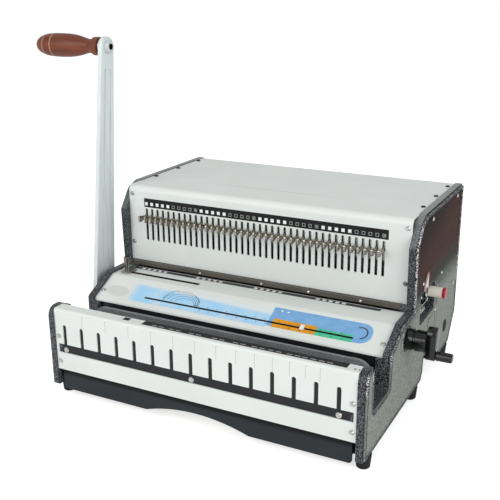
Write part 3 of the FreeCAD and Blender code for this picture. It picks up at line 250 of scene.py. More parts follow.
# %% Powder coat
def powder_coat(name, base, shade, roughness, peel_mm, specular=0.5):
    """An even coat with a faint cloud of colour and an orange peel."""
    finish, tree, shader, place = start_finish(name, roughness, 0.0, specular)
    drift = add(tree, "TexNoise", {"Vector": place, "Scale": per(60.0)})
    cloud = add(tree, "MapRange", {"Value": drift, "From Min": 0.3, "From Max": 0.7})
    haze = add(tree, "TexNoise", {"Vector": place, "Scale": per(3.0)})
    peel = add(tree, "TexNoise", {"Vector": place, "Scale": per(1.1)})
    feed(shader, {
        "Base Color": add(tree, "Mix", {0: cloud, FIRST: colour(base), SECOND: colour(shade)},
                          data_type="RGBA"),
        "Roughness": add(tree, "MapRange", {"Value": haze, "From Min": 0.3, "From Max": 0.7,
                                            "To Min": roughness - 0.04,
                                            "To Max": roughness + 0.04}),
        "Normal": add(tree, "Bump", {"Height": peel, "Distance": peel_mm * MM})})
    return finish


WHITE_COAT = ("#E0E5E2", "#DBE0DD", 0.42, 0.03)
# The white is cool and satin, so the sheets stay even and their bends show as soft bands.
finishes["white_coat"] = powder_coat("powder_coat_white", *WHITE_COAT)
# The black is satin too, and reads as a flat dark line between the white sheets.
finishes["black_coat"] = powder_coat("powder_coat_black", "#1B1C1F", "#222327", 0.4, 0.04, 0.3)
# The pin guide looks olive, because it mirrors the room in a dull coat.
finishes["throat_coat"] = powder_coat("powder_coat_olive", "#4B4842", "#57534B", 0.45, 0.04, 0.3)
print("coats:", len(finishes))

# %% [markdown]
# ## The table's slots
#
# The table has the same white coat, but its two long slots show as black lines, because their
# insides lie in shade. That shade is painted: the edges are part of the table's solid, so a
# place within a slot's length and width picks black.

# %% Table coat
POINTER_SLOT = ((-126.6, 154.6), (92.35, 94.65))
GUIDE_SLOT = ((-184.0, -70.0), (132.1, 137.9))


def within(tree, value, low, high):
    """One between two places along an axis, and nought outside them."""
    above = add(tree, "Math", {0: value, 1: low}, operation="GREATER_THAN")
    below = add(tree, "Math", {0: value, 1: high}, operation="LESS_THAN")
    return add(tree, "Math", {0: above, 1: below}, operation="MULTIPLY")


def table_coat():
    """White coat with painted shade, in black, on the edges inside both slots."""
    finish = powder_coat("powder_coat_white_slotted", *WHITE_COAT)
    tree = finish.node_tree
    shader = tree.nodes["Principled BSDF"]
    tone = shader.inputs["Base Color"].links[0].from_socket
    place = add(tree, "TexCoord").outputs["Object"]
    where = add(tree, "SeparateXYZ", {0: place}).outputs
    for x, y in (POINTER_SLOT, GUIDE_SLOT):
        along = within(tree, where["X"], at(x[0], 0, 0).x, at(x[1], 0, 0).x)
        across = within(tree, where["Y"], at(0, y[0], 0).y, at(0, y[1], 0).y)
        share = add(tree, "Math", {0: along, 1: across}, operation="MULTIPLY")
        # Painted shade: inside each slot the coat turns black.
        tone = add(tree, "Mix", {0: share, FIRST: tone, SECOND: colour("#101113")},
                   data_type="RGBA")
    feed(shader, {"Base Color": tone})
    return finish


finishes["table_coat"] = table_coat()
print("slots blackened: 2")

# %% [markdown]
# ## The skirt's paint
#
# The skirt is the drawer's front. It is a slate powder coat that turns nearly black in a band
# under the front sheet, where the sheet's edge keeps the light off it. Height gives the band.

# %% Skirt coat
BAND_Z = (28.5, 33.0)


def skirt_coat():
    """Slate coat with a darker band along its top."""
    finish, tree, shader, place = start_finish("powder_coat_slate", 0.42, 0.0, 0.15)
    height = add(tree, "SeparateXYZ", {0: place}).outputs["Z"]
    band = add(tree, "MapRange", {"Value": height, "From Min": BAND_Z[0] * MM,
                                  "From Max": BAND_Z[1] * MM})
    drift = add(tree, "TexNoise", {"Vector": place, "Scale": per(50.0)})
    cloud = add(tree, "MapRange", {"Value": drift, "From Min": 0.3, "From Max": 0.7})
    slate = add(tree, "Mix", {0: cloud, FIRST: colour("#2A2E31"), SECOND: colour("#303437")},
                data_type="RGBA")
    peel = add(tree, "TexNoise", {"Vector": place, "Scale": per(1.1)})
    feed(shader, {
        "Base Color": add(tree, "Mix", {0: band, FIRST: slate, SECOND: colour("#0F1013")},
                          data_type="RGBA"),
        "Normal": add(tree, "Bump", {"Height": peel, "Distance": 0.04 * MM})})
    return finish


finishes["skirt_coat"] = skirt_coat()
print("skirt band:", BAND_Z, "mm")

# %% [markdown]
# ## Metals
#
# Bare steel keeps the marks of how it was made. Drawn bars and ground plates have fine lines
# one way, plated parts are even with a slight cloud, and turned bronze is warm. Each row gives
# the name, two close tones, the roughness and the width of the marks in millimetres.

# %% Metals
def metal(name, base, shade, roughness, line_mm, stretch=(1, 1, 1)):
    """Bare or plated metal with fine marks that follow one direction."""
    finish, tree, shader, place = start_finish(name, roughness, 1.0)
    along = add(tree, "Mapping", {"Vector": place, "Scale": stretch})
    marks = add(tree, "TexNoise", {"Vector": along, "Scale": per(line_mm), "Detail": 4.0})
    share = add(tree, "MapRange", {"Value": marks, "From Min": 0.35, "From Max": 0.65})
    feed(shader, {
        "Base Color": add(tree, "Mix", {0: share, FIRST: colour(base), SECOND: colour(shade)},
                          data_type="RGBA"),
        "Roughness": add(tree, "MapRange", {"Value": marks, "From Min": 0.3, "From Max": 0.7,
                                            "To Min": roughness - 0.08,
                                            "To Max": roughness + 0.1}),
        "Normal": add(tree, "Bump", {"Height": marks, "Distance": 0.02 * MM})})
    return finish


METALS = {
    # Ground along the machine: long soft streaks in the highlights.
    "bright_steel": ("ground_steel", "#B9B9B6", "#9C9C99", 0.28, 0.8, (0.06, 1, 1)),
    # Zinc plated sheet: a dull grey with slow clouds.
    "zinc": ("zinc_plate", "#A8A7A0", "#8F8E88", 0.4, 4.0),
    # Polished screws, studs and rivets: small bright points.
    "screw_steel": ("polished_screw_steel", "#D2D2CF", "#AFAFAC", 0.18, 1.0),
    # Chrome: the sharpest glints, behind the side window.
    "chrome": ("chrome_plate", "#E2E4E6", "#C9CCCF", 0.1, 2.0),
    # Drawn spring wire: darker than the plated parts.
    "spring_steel": ("drawn_spring_steel", "#7E7E80", "#68686A", 0.35, 0.6),
    # Turned bronze: the only warm metal.
    "bronze": ("turned_bronze", "#B08A4E", "#96733E", 0.35, 0.7),
    # Nickel rubbed by fingers: warm grey and uneven.
    "pull_steel": ("worn_nickel_plate", "#BDB8A9", "#7A7567", 0.28, 1.4),
    "thumb_steel": ("nickel_plate_dark", "#A6A39C", "#77746D", 0.24, 1.2),
}
for key, values in METALS.items():
    finishes[key] = metal(*values)
print("finishes:", len(finishes))

# %% [markdown]
# ## The sheet screws
#
# The screws in the upright sheets are polished. Those in the cover's top look nearly black,
# because their flat heads mirror the dark room above, so that reflection is painted into their
# colour by their height.

# %% Sheet screws
TOP_SCREW_Z = 234.0


def sheet_screws():
    """Polished steel below the cover's top, and a painted dark reflection on it."""
    finish, tree, shader, place = start_finish("sheet_screw_steel", 0.22, 1.0)
    height = add(tree, "SeparateXYZ", {0: place}).outputs["Z"]
    # Painted reflection: screws on the cover's top are painted dark grey.
    on_top = add(tree, "MapRange", {"Value": height, "From Min": (TOP_SCREW_Z - 1) * MM,
                                    "From Max": TOP_SCREW_Z * MM})
    lines = add(tree, "TexNoise", {"Vector": place, "Scale": per(1.0), "Detail": 3.0})
    marks = add(tree, "MapRange", {"Value": lines, "From Min": 0.35, "From Max": 0.65})
    bright = add(tree, "Mix", {0: marks, FIRST: colour("#D2D2CF"), SECOND: colour("#AFAFAC")},
                 data_type="RGBA")
    feed(shader, {
        "Base Color": add(tree, "Mix", {0: on_top, FIRST: bright, SECOND: colour("#3C3C3C")},
                          data_type="RGBA"),
        "Normal": add(tree, "Bump", {"Height": marks, "Distance": 0.01 * MM})})
    return finish


finishes["sheet_screws"] = sheet_screws()
print("oiled screws above", TOP_SCREW_Z, "mm")

# %% [markdown]
# ## The lever's paint
#
# The lever is a flat steel bar with a pale blue-grey coat. Rolling leaves faint lines along
# its length, so its grain is stretched upward.

# %% Lever coat
def lever_coat():
    """Pale coat over a rolled bar, with faint lines along its length."""
    finish, tree, shader, place = start_finish("satin_coat_pale_blue", 0.36)
    upright = add(tree, "Mapping", {"Vector": place, "Scale": (1, 1, 0.03)})
    lines = add(tree, "TexNoise", {"Vector": upright, "Scale": per(2.5), "Detail": 3.0})
    share = add(tree, "MapRange", {"Value": lines, "From Min": 0.35, "From Max": 0.65})
    feed(shader, {
        "Base Color": add(tree, "Mix", {0: share, FIRST: colour("#D2DCDB"),
                                        SECOND: colour("#DEE6E5")}, data_type="RGBA"),
        "Normal": add(tree, "Bump", {"Height": lines, "Distance": 0.03 * MM})})
    return finish


finishes["lever_coat"] = lever_coat()
print("lever coat ready")

# %% [markdown]
# ## Varnished wood
#
# The grip is a turned hardwood, stained red-brown and varnished. Its grain runs along the
# grip, which lies across the machine, and the varnish gives a soft gloss over it. Two pale
# rings near its outer end are painted highlights.

# %% Varnished wood
GRIP_HIGHLIGHT_RINGS_X = (-298.5, -312.0)
HIGHLIGHT_INNER, HIGHLIGHT_OUTER = 0.5, 1.1


def varnished_wood():
    """Stained hardwood with grain along X under a clear varnish."""
    finish, tree, shader, place = start_finish("varnished_hardwood", 0.45, 0.0, 0.3)
    along = add(tree, "Mapping", {"Vector": place, "Scale": (0.12, 1, 1)})
    wide = add(tree, "TexNoise", {"Vector": along, "Scale": per(7.0), "Detail": 3.0})
    bands = add(tree, "MapRange", {"Value": wide, "From Min": 0.35, "From Max": 0.65})
    base = add(tree, "Mix", {0: bands, FIRST: colour("#5E2A18"), SECOND: colour("#783B22")},
               data_type="RGBA")
    along = add(tree, "Mapping", {"Vector": place, "Scale": (0.06, 1, 1)})
    fine = add(tree, "TexNoise", {"Vector": along, "Scale": per(1.4), "Detail": 3.0})
    pores = add(tree, "MapRange", {"Value": fine, "From Min": 0.56, "From Max": 0.66,
                                   "To Min": 0.0, "To Max": 0.7})
    wood = add(tree, "Mix", {0: pores, FIRST: base, SECOND: colour("#5E2C1A")},
               data_type="RGBA")
    across = add(tree, "SeparateXYZ", {0: place}).outputs["X"]
    # Painted highlights: two pale rings across the grip.
    for ring in GRIP_HIGHLIGHT_RINGS_X:
        off = add(tree, "Math", {0: across, 1: at(ring, 0, 0).x}, operation="SUBTRACT")
        away = add(tree, "Math", {0: off}, operation="ABSOLUTE")
        pale = add(tree, "MapRange", {"Value": away, "From Min": HIGHLIGHT_INNER * MM,
                                      "From Max": HIGHLIGHT_OUTER * MM, "To Min": 0.6, "To Max": 0.0})
        wood = add(tree, "Mix", {0: pale, FIRST: wood, SECOND: colour("#C9A080")},
                   data_type="RGBA")
    feed(shader, {
        "Base Color": wood, "Coat Weight": 0.15, "Coat Roughness": 0.28,
        "Normal": add(tree, "Bump", {"Height": fine, "Distance": 0.04 * MM})})
    return finish


finishes["wood"] = varnished_wood()
print("rings on the grip:", len(GRIP_HIGHLIGHT_RINGS_X))

# %% [markdown]
# ## Plastics and rubber
#
# The knob, its cap and the crank are moulded plastic: a gloss with a little waviness. The feet
# are dull rubber.

# %% Plastics and rubber
def moulded(name, base, shade, roughness, wave_mm=6.0, depth_mm=0.05, specular=0.5):
    """Moulded plastic, rubber or printed film: two close tones and a slight wave."""
    finish, tree, shader, place = start_finish(name, roughness, 0.0, specular)
    wave = add(tree, "TexNoise", {"Vector": place, "Scale": per(wave_mm)})
    share = add(tree, "MapRange", {"Value": wave, "From Min": 0.35, "From Max": 0.65})
    feed(shader, {
        "Base Color": add(tree, "Mix", {0: share, FIRST: colour(base), SECOND: colour(shade)},
                          data_type="RGBA"),
        "Normal": add(tree, "Bump", {"Height": wave, "Distance": depth_mm * MM})})
    return finish


PLASTICS = {
    # The crank has the sharpest gloss; the knob and its cap are a softer satin.
    "black_plastic": ("gloss_abs_black", "#08090A", "#0D0E10", 0.13),
    "cream_plastic": ("gloss_abs_cream", "#FBF6E8", "#F6F0DE", 0.35),
    "red_plastic": ("gloss_abs_red", "#B01834", "#9C122C", 0.3),
    # The scale plate is faintly pink where its red edges shine into it.
    "pink_plastic": ("printed_plate_pink", "#E4D3D2", "#D6C2C2", 0.45),
    "white_plastic": ("gloss_abs_white", "#ECEEEC", "#E2E5E2", 0.3),
}
for key, values in PLASTICS.items():
    finishes[key] = moulded(*values)
# The feet take up light, so they end the machine in plain dark blocks.
finishes["rubber"] = moulded("rubber_black", "#17181A", "#202124", 0.7, 1.2, 0.15, 0.3)
print("plastics:", len(PLASTICS))

# %% [markdown]
# ## Printed ink
#
# The labels are printed film. Ink lies flat, so a label keeps one tone right across, with next
# to no relief and a slight gloss.

# %% Printed ink
INKS = {
    "black_ink": ("ink_black", "#101113", "#15171A"),
    "white_ink": ("ink_white", "#F4F6F5", "#E8EBEA"),
    "grey_ink": ("ink_grey", "#A9ADAA", "#9CA09D"),
    # Not an ink: painted shade for the faint dents in the front sheet.
    "dent_shade_grey": ("painted_dent_shade_grey", "#BDC2BF", "#B6BBB8"),
    "faint_ink": ("ink_faint_grey", "#D2D7D4", "#CED3D0"),
    "slate_ink": ("ink_slate", "#4A4D50", "#414447"),
    "sky_ink": ("ink_mid_blue", "#7FB0DC", "#74A6D4"),
    "orange_ink": ("ink_orange", "#E29C22", "#D89018"),
    "green_ink": ("ink_green", "#4FC79A", "#45BB8E"),
    "red_ink": ("ink_red", "#9E2438", "#8C1E30"),
}
for key, values in INKS.items():
    finishes[key] = moulded(*values, roughness=0.5, wave_mm=12.0, depth_mm=0.01, specular=0.25)
print("finishes:", len(finishes))

# %% [markdown]
# ## The side cover's panel
#
# The right side cover is a hammered grey panel inside a dark rim. The panel's upper half, over
# the punch, is painted a dark gloss brown that turns dark grey and then pale grey further down:
# a painted reflection of the dark room in the glossy enamel over its grey. Height picks the
# tone, so each pair below is where one tone gives way to the next.

# %% Panel tones
GREY_TO_DARK_Z, DARK_TO_BROWN_Z, BROWN_TO_TOP_Z = (112, 142), (140, 168), (205, 245)


def panel_with_painted_reflection(tree, flecks, height, depth):
    """The sunk panel's enamel: pale grey, then a painted reflection in dark grey, brown and darker
    brown.
    """
    pale, dark, brown, top = (
        add(tree, "Mix", {0: flecks, FIRST: colour(low), SECOND: colour(high)},
            data_type="RGBA")
        for low, high in (("#757973", "#A4A9A1"), ("#2A2B2A", "#4D504D"),
                          ("#34201C", "#4C332D"), ("#1C1312", "#2E2321")))
    back = add(tree, "MapRange", {"Value": depth, "From Min": at(0, 170, 0).y,
                                  "From Max": at(0, 330, 0).y, "To Min": 40 * MM,
                                  "To Max": 0.0})
    tall = add(tree, "Math", {0: height, 1: back}, operation="ADD")
    # Painted reflection: dark grey, brown and darker brown stand for the room mirrored higher up.
    panel = pale
    for measure, span, tone in ((height, GREY_TO_DARK_Z, dark),
                                (height, DARK_TO_BROWN_Z, brown),
                                (tall, BROWN_TO_TOP_Z, top)):
        share = add(tree, "MapRange", {"Value": measure, "From Min": span[0] * MM,
                                       "From Max": span[1] * MM})
        panel = add(tree, "Mix", {0: share, FIRST: panel, SECOND: tone}, data_type="RGBA")
    return panel


print("panel: brown above", DARK_TO_BROWN_Z[1], "mm")

# %% [markdown]
# ## The side cover's rim
#
# The distance out from the machine tells the rim from the sunk panel. The rim's front run
# carries a painted highlight, so its flecks are paler there, and its top run half as much. The
# camera looks along this face, so its shader has almost no mirror light, which would wash the
# brown out.

# %% Side cover enamel
RIM_HIGHLIGHT_Z = 96.0
RIM_DEPTH = 0.12


def side_enamel():
    """Grey enamel with a painted brown reflection above the window, and a dark rim with a painted
    highlight.
    """
    finish, tree, shader, place = start_finish("hammered_enamel_side", 0.4, 0.0, 0.01)
    where = add(tree, "SeparateXYZ", {0: place}).outputs
    facing = add(tree, "SeparateXYZ", {0: place.node.outputs["Normal"]}).outputs
    cells = add(tree, "TexNoise", {"Vector": place, "Scale": per(1.3), "Detail": 2.5})
    flecks = add(tree, "MapRange", {"Value": cells, "From Min": 0.42, "From Max": 0.66})
    # Painted reflection: the panel's grey darkens to brown higher up.
    panel = panel_with_painted_reflection(tree, flecks, where["Z"], where["Y"])
    # Painted highlight: high front-facing faces get near-white flecks, and upward ones paler
    # flecks.
    high = add(tree, "MapRange", {"Value": where["Z"], "From Min": (RIM_HIGHLIGHT_Z - 4) * MM,
                                  "From Max": RIM_HIGHLIGHT_Z * MM})
    forward = add(tree, "MapRange", {"Value": facing["Y"], "From Min": -0.5, "From Max": -0.8})
    upward = add(tree, "MapRange", {"Value": facing["Z"], "From Min": 0.3, "From Max": 0.6})
    painted_highlight = add(tree, "Math", {0: high, 1: forward}, operation="MULTIPLY")
    upper = add(tree, "Math", {0: high, 1: upward}, operation="MULTIPLY")
    fleck = add(tree, "Mix", {0: upper, FIRST: colour("#7F838A"), SECOND: colour("#B9BDBD")},
                data_type="RGBA")
    fleck = add(tree, "Mix", {0: painted_highlight, FIRST: fleck, SECOND: colour("#FAFAFA")},
                data_type="RGBA")
    share = add(tree, "MapRange", {"Value": cells, "From Min": 0.44, "From Max": 0.6})
    rim = add(tree, "Mix", {0: share, FIRST: colour("#1B1D20"), SECOND: fleck},
              data_type="RGBA")
    rim_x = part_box("right_side_cover")[1][0] - RIM_DEPTH * MM
    out = add(tree, "MapRange", {"Value": where["X"], "From Min": rim_x,
                                 "From Max": rim_x + 0.05 * MM})
    edge = add(tree, "Math", {0: painted_highlight, 1: upper}, operation="MAXIMUM")
    edge = add(tree, "Math", {0: out, 1: edge}, operation="MAXIMUM")
    feed(shader, {
        "Base Color": add(tree, "Mix", {0: edge, FIRST: panel, SECOND: rim},
                          data_type="RGBA"),
        "Normal": add(tree, "Bump", {"Height": cells, "Distance": 0.14 * MM})})
    return finish


finishes["side_enamel"] = side_enamel()
print("rim worn bright above", RIM_HIGHLIGHT_Z, "mm")

# %% [markdown]
# ## The grip bolt
#
# The bolt that carries the grip has a head painted with the lever, and a black socket in its
# middle. Both are one solid, so the distance from the bolt's axis picks the colour.

# %% Painted bolt
BOLT_Y, BOLT_Z = 164.9, 414.7
SOCKET_R = 4.1


def painted_bolt():
    """The lever's pale coat with a black socket round the bolt's axis."""
    finish, tree, shader, place = start_finish("satin_coat_bolt", 0.36)
    centre = at(0, BOLT_Y, BOLT_Z)
    offset = add(tree, "Mapping", {"Vector": place, "Location": (0, -centre.y, -centre.z)})
    radial = add(tree, "VectorMath", {0: offset, 1: (0, 1, 1)}, operation="MULTIPLY")
    radius = add(tree, "VectorMath", {0: radial}, operation="LENGTH")
    socket = add(tree, "MapRange", {"Value": radius, "From Min": (SOCKET_R - 0.1) * MM,
                                    "From Max": SOCKET_R * MM, "To Min": 1.0, "To Max": 0.0})
    drift = add(tree, "TexNoise", {"Vector": place, "Scale": per(3.0)})
    cloud = add(tree, "MapRange", {"Value": drift, "From Min": 0.35, "From Max": 0.65})
    pale = add(tree, "Mix", {0: cloud, FIRST: colour("#BCC6C6"), SECOND: colour("#CBD4D3")},
               data_type="RGBA")
    peel = add(tree, "TexNoise", {"Vector": place, "Scale": per(1.1)})
    feed(shader, {
        "Base Color": add(tree, "Mix", {0: socket, FIRST: pale, SECOND: colour("#0D0E10")},
                          data_type="RGBA"),
        "Normal": add(tree, "Bump", {"Height": peel, "Distance": 0.02 * MM})})
    return finish


finishes["bolt_coat"] = painted_bolt()
print("socket radius:", SOCKET_R, "mm")

# %% [markdown]
# ## Finishes on the solids
#
# Each solid gets its finish in its own material slots. The last cells add better shaped pieces
# for a few of them, which are then hidden; they still get a finish, so that none is left bare.

# %% Give the solids their finishes
FINISH_OF = {
    "cheek_enamel": ["left_frame", "right_frame"],
    "jaw_enamel": ["jaw_plate"],
    "side_enamel": ["right_side_cover"],
    "white_coat": ["front_panel", "upper_cover", "back_panel"],
    "table_coat": ["table_plate"],
    "black_coat": ["comb_bar", "closer_trough"],
    "bolt_coat": ["grip_bolt"],
    "skirt_coat": ["drawer_front"],
    "throat_coat": ["pin_guide"],
    "bright_steel": ["die_plate", "punch_pins", "main_shaft", "crank_pins", "lever_hub",
                     "jaw_rods", "lead_screw", "hand_crank_spindle", "gauge_shaft", "punch_bar"],
    "zinc": ["chip_tray", "rear_floor", "drawer_rails", "gauge_brackets", "slide_guides",
             "spring_seats", "anvil_beam", "comb_bar_spacers", "punch_slides", "bell_cranks",
             "jaw_arms", "side_guide", "back_gauge"],
    "sheet_screws": ["panel_screws"],
    "screw_steel": ["comb_bar_screws", "foot_screws", "lever_nut", "grip_collar"],
    "spring_steel": ["return_springs"],
    "bronze": ["shaft_bushes", "selector_bearings", "jaw_bushes", "pointer_nut"],
    "pull_steel": [name for name in nodes if name.startswith("pin_pulls")],
    "thumb_steel": ["thumb_screw"],
    "lever_coat": ["lever_arm"],
    "wood": ["lever_grip"],
    "black_plastic": ["hand_crank", "hand_grip"],
    "cream_plastic": ["margin_dial"],
    "red_plastic": ["dial_cap"],
    "pink_plastic": ["dial_scale"],
    "white_plastic": ["size_pointer"],
    "rubber": ["rubber_feet"],
}
for finish_name, names in FINISH_OF.items():
    for name in names:
        slots = nodes[name].material_slots
        if not slots:
            nodes[name].data.materials.append(finishes[finish_name])
        for spot in slots:
            spot.material = finishes[finish_name]
covered = {name for names in FINISH_OF.values() for name in names}
print("without a finish:", sorted(set(nodes) - covered))

# %% [markdown]
# ## Making a piece
#
# Every added piece is drawn in a bmesh in metres, at its place on the machine, and then
# becomes an object at the origin that rides on one of the machine's bodies. Labels, plates and
# blocks start as boxes, which are given by their spans in millimetres.

# %% Piece helpers
SMOOTH_ANGLE = math.radians(35)
QUARTER_TURN = Matrix.Rotation(math.radians(90), 4, "Y")


def finish_piece(name, bm, finish, body):
    """Turn a bmesh into a piece that rides on a body."""
    bmesh.ops.recalc_face_normals(bm, faces=bm.faces)
    mesh = bpy.data.meshes.new(name)
    bm.to_mesh(mesh)
    bm.free()
    mesh.shade_smooth()
    mesh.set_sharp_from_angle(angle=SMOOTH_ANGLE)
    mesh.materials.append(finishes[finish])
    piece = bpy.data.objects.new(name, mesh)
    bpy.context.scene.collection.objects.link(piece)
    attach(piece, body)
    print(name, len(mesh.polygons), "faces")
    return piece


def add_box(bm, x, y, z, bevel_mm=0.0):
    """A box from three spans in millimetres, with optional bevelled edges."""
    low = at(min(x), min(y), min(z))
    high = at(max(x), max(y), max(z))
    where = Matrix.Translation((low + high) / 2) @ Matrix.Diagonal((*(high - low), 1))
    verts = bmesh.ops.create_cube(bm, size=1, matrix=where)["verts"]
    if bevel_mm:
        edges = {e for v in verts for e in v.link_edges}
        bmesh.ops.bevel(bm, geom=list(edges), offset=bevel_mm * MM, segments=2,
                        profile=0.5, affect="EDGES", material=-1)
    return verts


print("piece helpers ready")

# %% [markdown]
# ## The rows of printed squares
#
# A black strip above the slots shows one square for each pin: five filled, then five in
# outline, and so on, so that the user can count the holes. The last outlined square of each
# five has a grey middle. The pins stand a third of an inch apart, and the row's middle is a
# little left of the machine's.

# %% The row of pins
PIN_COUNT = 40
PIN_PITCH = 25.4 / 3
ROW_X = -3.0


def pin_x(i):
    """The place of a pin along the row."""
    return ROW_X + (i - (PIN_COUNT - 1) / 2) * PIN_PITCH


print("pins from", round(pin_x(0), 1), "to", round(pin_x(PIN_COUNT - 1), 1), "mm")

# %% [markdown]
# ## One square and a row of them
#
# Each square is a thin film, and an outlined one is a filled one with its middle taken out: its
# two wide faces are inset, bridged through and deleted. A row goes into three pieces, because
# each has its own ink.

# %% Squares
FILM = 0.15
INK = 0.06
GROUP = 5
OUTLINE = 0.8
MIDDLE_SHARE = 0.4


def add_square(bm, x, spans, side, outlined=False):
    """One printed square; spans gives its Y and Z spans, one of them the film's thickness."""
    half = side / 2
    verts = add_box(bm, (x - half, x + half), *spans)
    if outlined:
        faces = list({f for v in verts for f in v.link_faces})
        along_row = [f for f in faces if abs(f.normal.x) < 0.5]
        wide = sorted(along_row, key=lambda f: f.calc_area())[-2:]
        bmesh.ops.inset_individual(bm, faces=wide, thickness=OUTLINE * MM)
        bmesh.ops.bridge_loops(bm, edges=[e for f in wide for e in f.edges])
        bmesh.ops.delete(bm, geom=wide, context="FACES_ONLY")


def shrunk(span, share):
    """A span about its own middle, a share of its length."""
    middle, half = sum(span) / 2, (span[1] - span[0]) / 2 * share
    return (middle - half, middle + half)


def square_row(name, spans, side, thick_axis, open_ink):
    """A row of squares: filled ones, outlined ones, and grey middles in every tenth."""
    filled, outline, middles = bmesh.new(), bmesh.new(), bmesh.new()
    inner = [span if axis == thick_axis else shrunk(span, MIDDLE_SHARE)
             for axis, span in enumerate(spans)]
    for i in range(PIN_COUNT):
        if (i // GROUP) % 2 == 0:
            add_square(filled, pin_x(i), spans, side)
            continue
        add_square(outline, pin_x(i), spans, side, outlined=True)
        if i % GROUP == GROUP - 1:
            add_square(middles, pin_x(i), inner, side * MIDDLE_SHARE)
    finish_piece(f"{name}_filled_squares", filled, "white_ink", "machine")
    finish_piece(f"{name}_open_squares", outline, open_ink, "machine")
    finish_piece(f"{name}_grey_middles", middles, open_ink, "machine")


print("squares in groups of", GROUP)

# %% [markdown]
# ## The strips under the squares
#
# The first strip is on the cover's face, over the slots. The second repeats the row on the
# table, where the paper lies. Each strip is a thin film, and its squares lie on top of it.

# %% Strips on the cover and the table
COVER_Y = 167.0
COVER_STRIP_X, COVER_STRIP_Z = (-171.5, 167.5), (207.3, 219.3)
COVER_SQUARE, COVER_SQUARE_Z = 4.2, (209.7, 213.9)
bm = bmesh.new()
add_box(bm, COVER_STRIP_X, (COVER_Y - FILM, COVER_Y), COVER_STRIP_Z)
finish_piece("cover_label", bm, "black_ink", "machine")
square_row("cover_label", ((COVER_Y - FILM - INK, COVER_Y - FILM), COVER_SQUARE_Z),
           COVER_SQUARE, 0, "grey_ink")

TABLE_Z = 124.0
TABLE_STRIP_X, TABLE_STRIP_Y = (-181, 166), (151.2, 158.2)
TABLE_SQUARE, TABLE_SQUARE_Y = 4.8, (152.6, 157.0)
bm = bmesh.new()
add_box(bm, TABLE_STRIP_X, TABLE_STRIP_Y, (TABLE_Z, TABLE_Z + FILM))
finish_piece("table_label", bm, "slate_ink", "machine")
square_row("table_label", (TABLE_SQUARE_Y, (TABLE_Z + FILM, TABLE_Z + FILM + INK)),
           TABLE_SQUARE, 1, "slate_ink")

# %% [markdown]
# ## Print on the front flange, painted shade on the front sheet
#
# A black strip on the flange behind the slots has pairs of pale dashes, one pair over each
# slot. The sheet itself has a faint grey line between its slots, which turns to the right at
# its top: painted shade of faint dents in the sheet. The lines are hair thin on the machine,
# and are drawn 0.6 mm wide so that they still show.

# %% Flange strip and sheet lines
FLANGE_Z = 118.0
FLANGE_STRIPS = (((-72, 180), (6.2, 16.2)), ((-99.5, -91), (8.0, 15.0)),
                 ((187.5, 190.0), (6.4, 8.2)), ((192.5, 194.0), (6.4, 8.2)))
DASH_APART, DASH_HALF, DASH_Y = 4.6, 3.2, (8.6, 10.0)
DASH_X = (-50.5, -27.8, -1.4, 28.3, 54.6, 77.6, 97.5, 119.3, 137.1, 156.1)
SHEET_LINE_X = (-153.3, -119.2, -86.5, -55.2, -25.4, 3.1, 30.3, 55.1, 77.7, 99.0, 119.0,
                137.1, 153.6)
LINE_HALF, LINE_Z = 0.3, (98.5, 114.0)
HOOK_REACH, HOOK_Z = 2.4, (113.5, 114.0)
bm = bmesh.new()
for x, y in FLANGE_STRIPS:
    add_box(bm, x, y, (FLANGE_Z, FLANGE_Z + FILM))
finish_piece("flange_label", bm, "black_ink", "machine")
bm = bmesh.new()
for x in DASH_X:
    for middle in (x - DASH_APART, x + DASH_APART):
        add_box(bm, (middle - DASH_HALF, middle + DASH_HALF), DASH_Y,
                (FLANGE_Z + FILM, FLANGE_Z + FILM + INK))
finish_piece("flange_label_dashes", bm, "grey_ink", "machine")
# Painted shade of faint dents between the slots, drawn as pale grey lines.
bm = bmesh.new()
for x in SHEET_LINE_X:
    add_box(bm, (x - LINE_HALF, x + LINE_HALF), (-INK, 0), LINE_Z)
    add_box(bm, (x + LINE_HALF, x + HOOK_REACH), (-INK, 0), HOOK_Z)
finish_piece("front_sheet_dent_shade", bm, "dent_shade_grey", "machine")

# %% [markdown]
# ## The size scale on the slope
#
# The pointer runs in a long slot in the table's slope. Printed fields beside the slot tell the
# user how far to turn the crank. They are drawn flat, in a plane of their own that has the
# slope's length, and are tipped onto the slope when they are done.

# %% The slope's plane
LIP_Y, LIP_Z = 80.0, 103.8
TOP_Y, TOP_Z = 120.0, 124.0
SLOPE = math.atan2(TOP_Z - LIP_Z, TOP_Y - LIP_Y)
STRETCH = 1 / math.cos(SLOPE)
ONTO_SLOPE = Matrix.Translation(at(0, LIP_Y, LIP_Z)) @ Matrix.Rotation(SLOPE, 4, "X")
# The opening in the films is a hair shorter than the slot and a hair wider.
SHORTER, WIDER = 0.1, 0.05
SLOT_X = (POINTER_SLOT[0][0] + SHORTER, POINTER_SLOT[0][1] - SHORTER)
SLOT_Y = (POINTER_SLOT[1][0] - WIDER, POINTER_SLOT[1][1] + WIDER)


def flat(x, y):
    """A place in the slope's plane, in metres, from millimetre X and Y on the machine."""
    return Vector((x, (y - LIP_Y) * STRETCH, 0)) * MM


def add_flat(bm, x, y):
    """A flat rectangle in the slope's plane."""
    low, high = flat(x[0], y[0]), flat(x[1], y[1])
    size = high - low
    where = Matrix.Translation((low + high) / 2) @ Matrix.Diagonal((size.x, size.y, 1, 1))
    return bmesh.ops.create_grid(bm, x_segments=1, y_segments=1, size=0.5,
                                 matrix=where)["verts"]


print("slope", round(math.degrees(SLOPE), 1), "degrees")

# %% [markdown]
# ## A printed film on the slope
#
# Four cuts set the slot's strip apart in a flat field, and the strip is deleted. A short
# extrusion gives the film its thickness. Films that lie over others start one level higher.

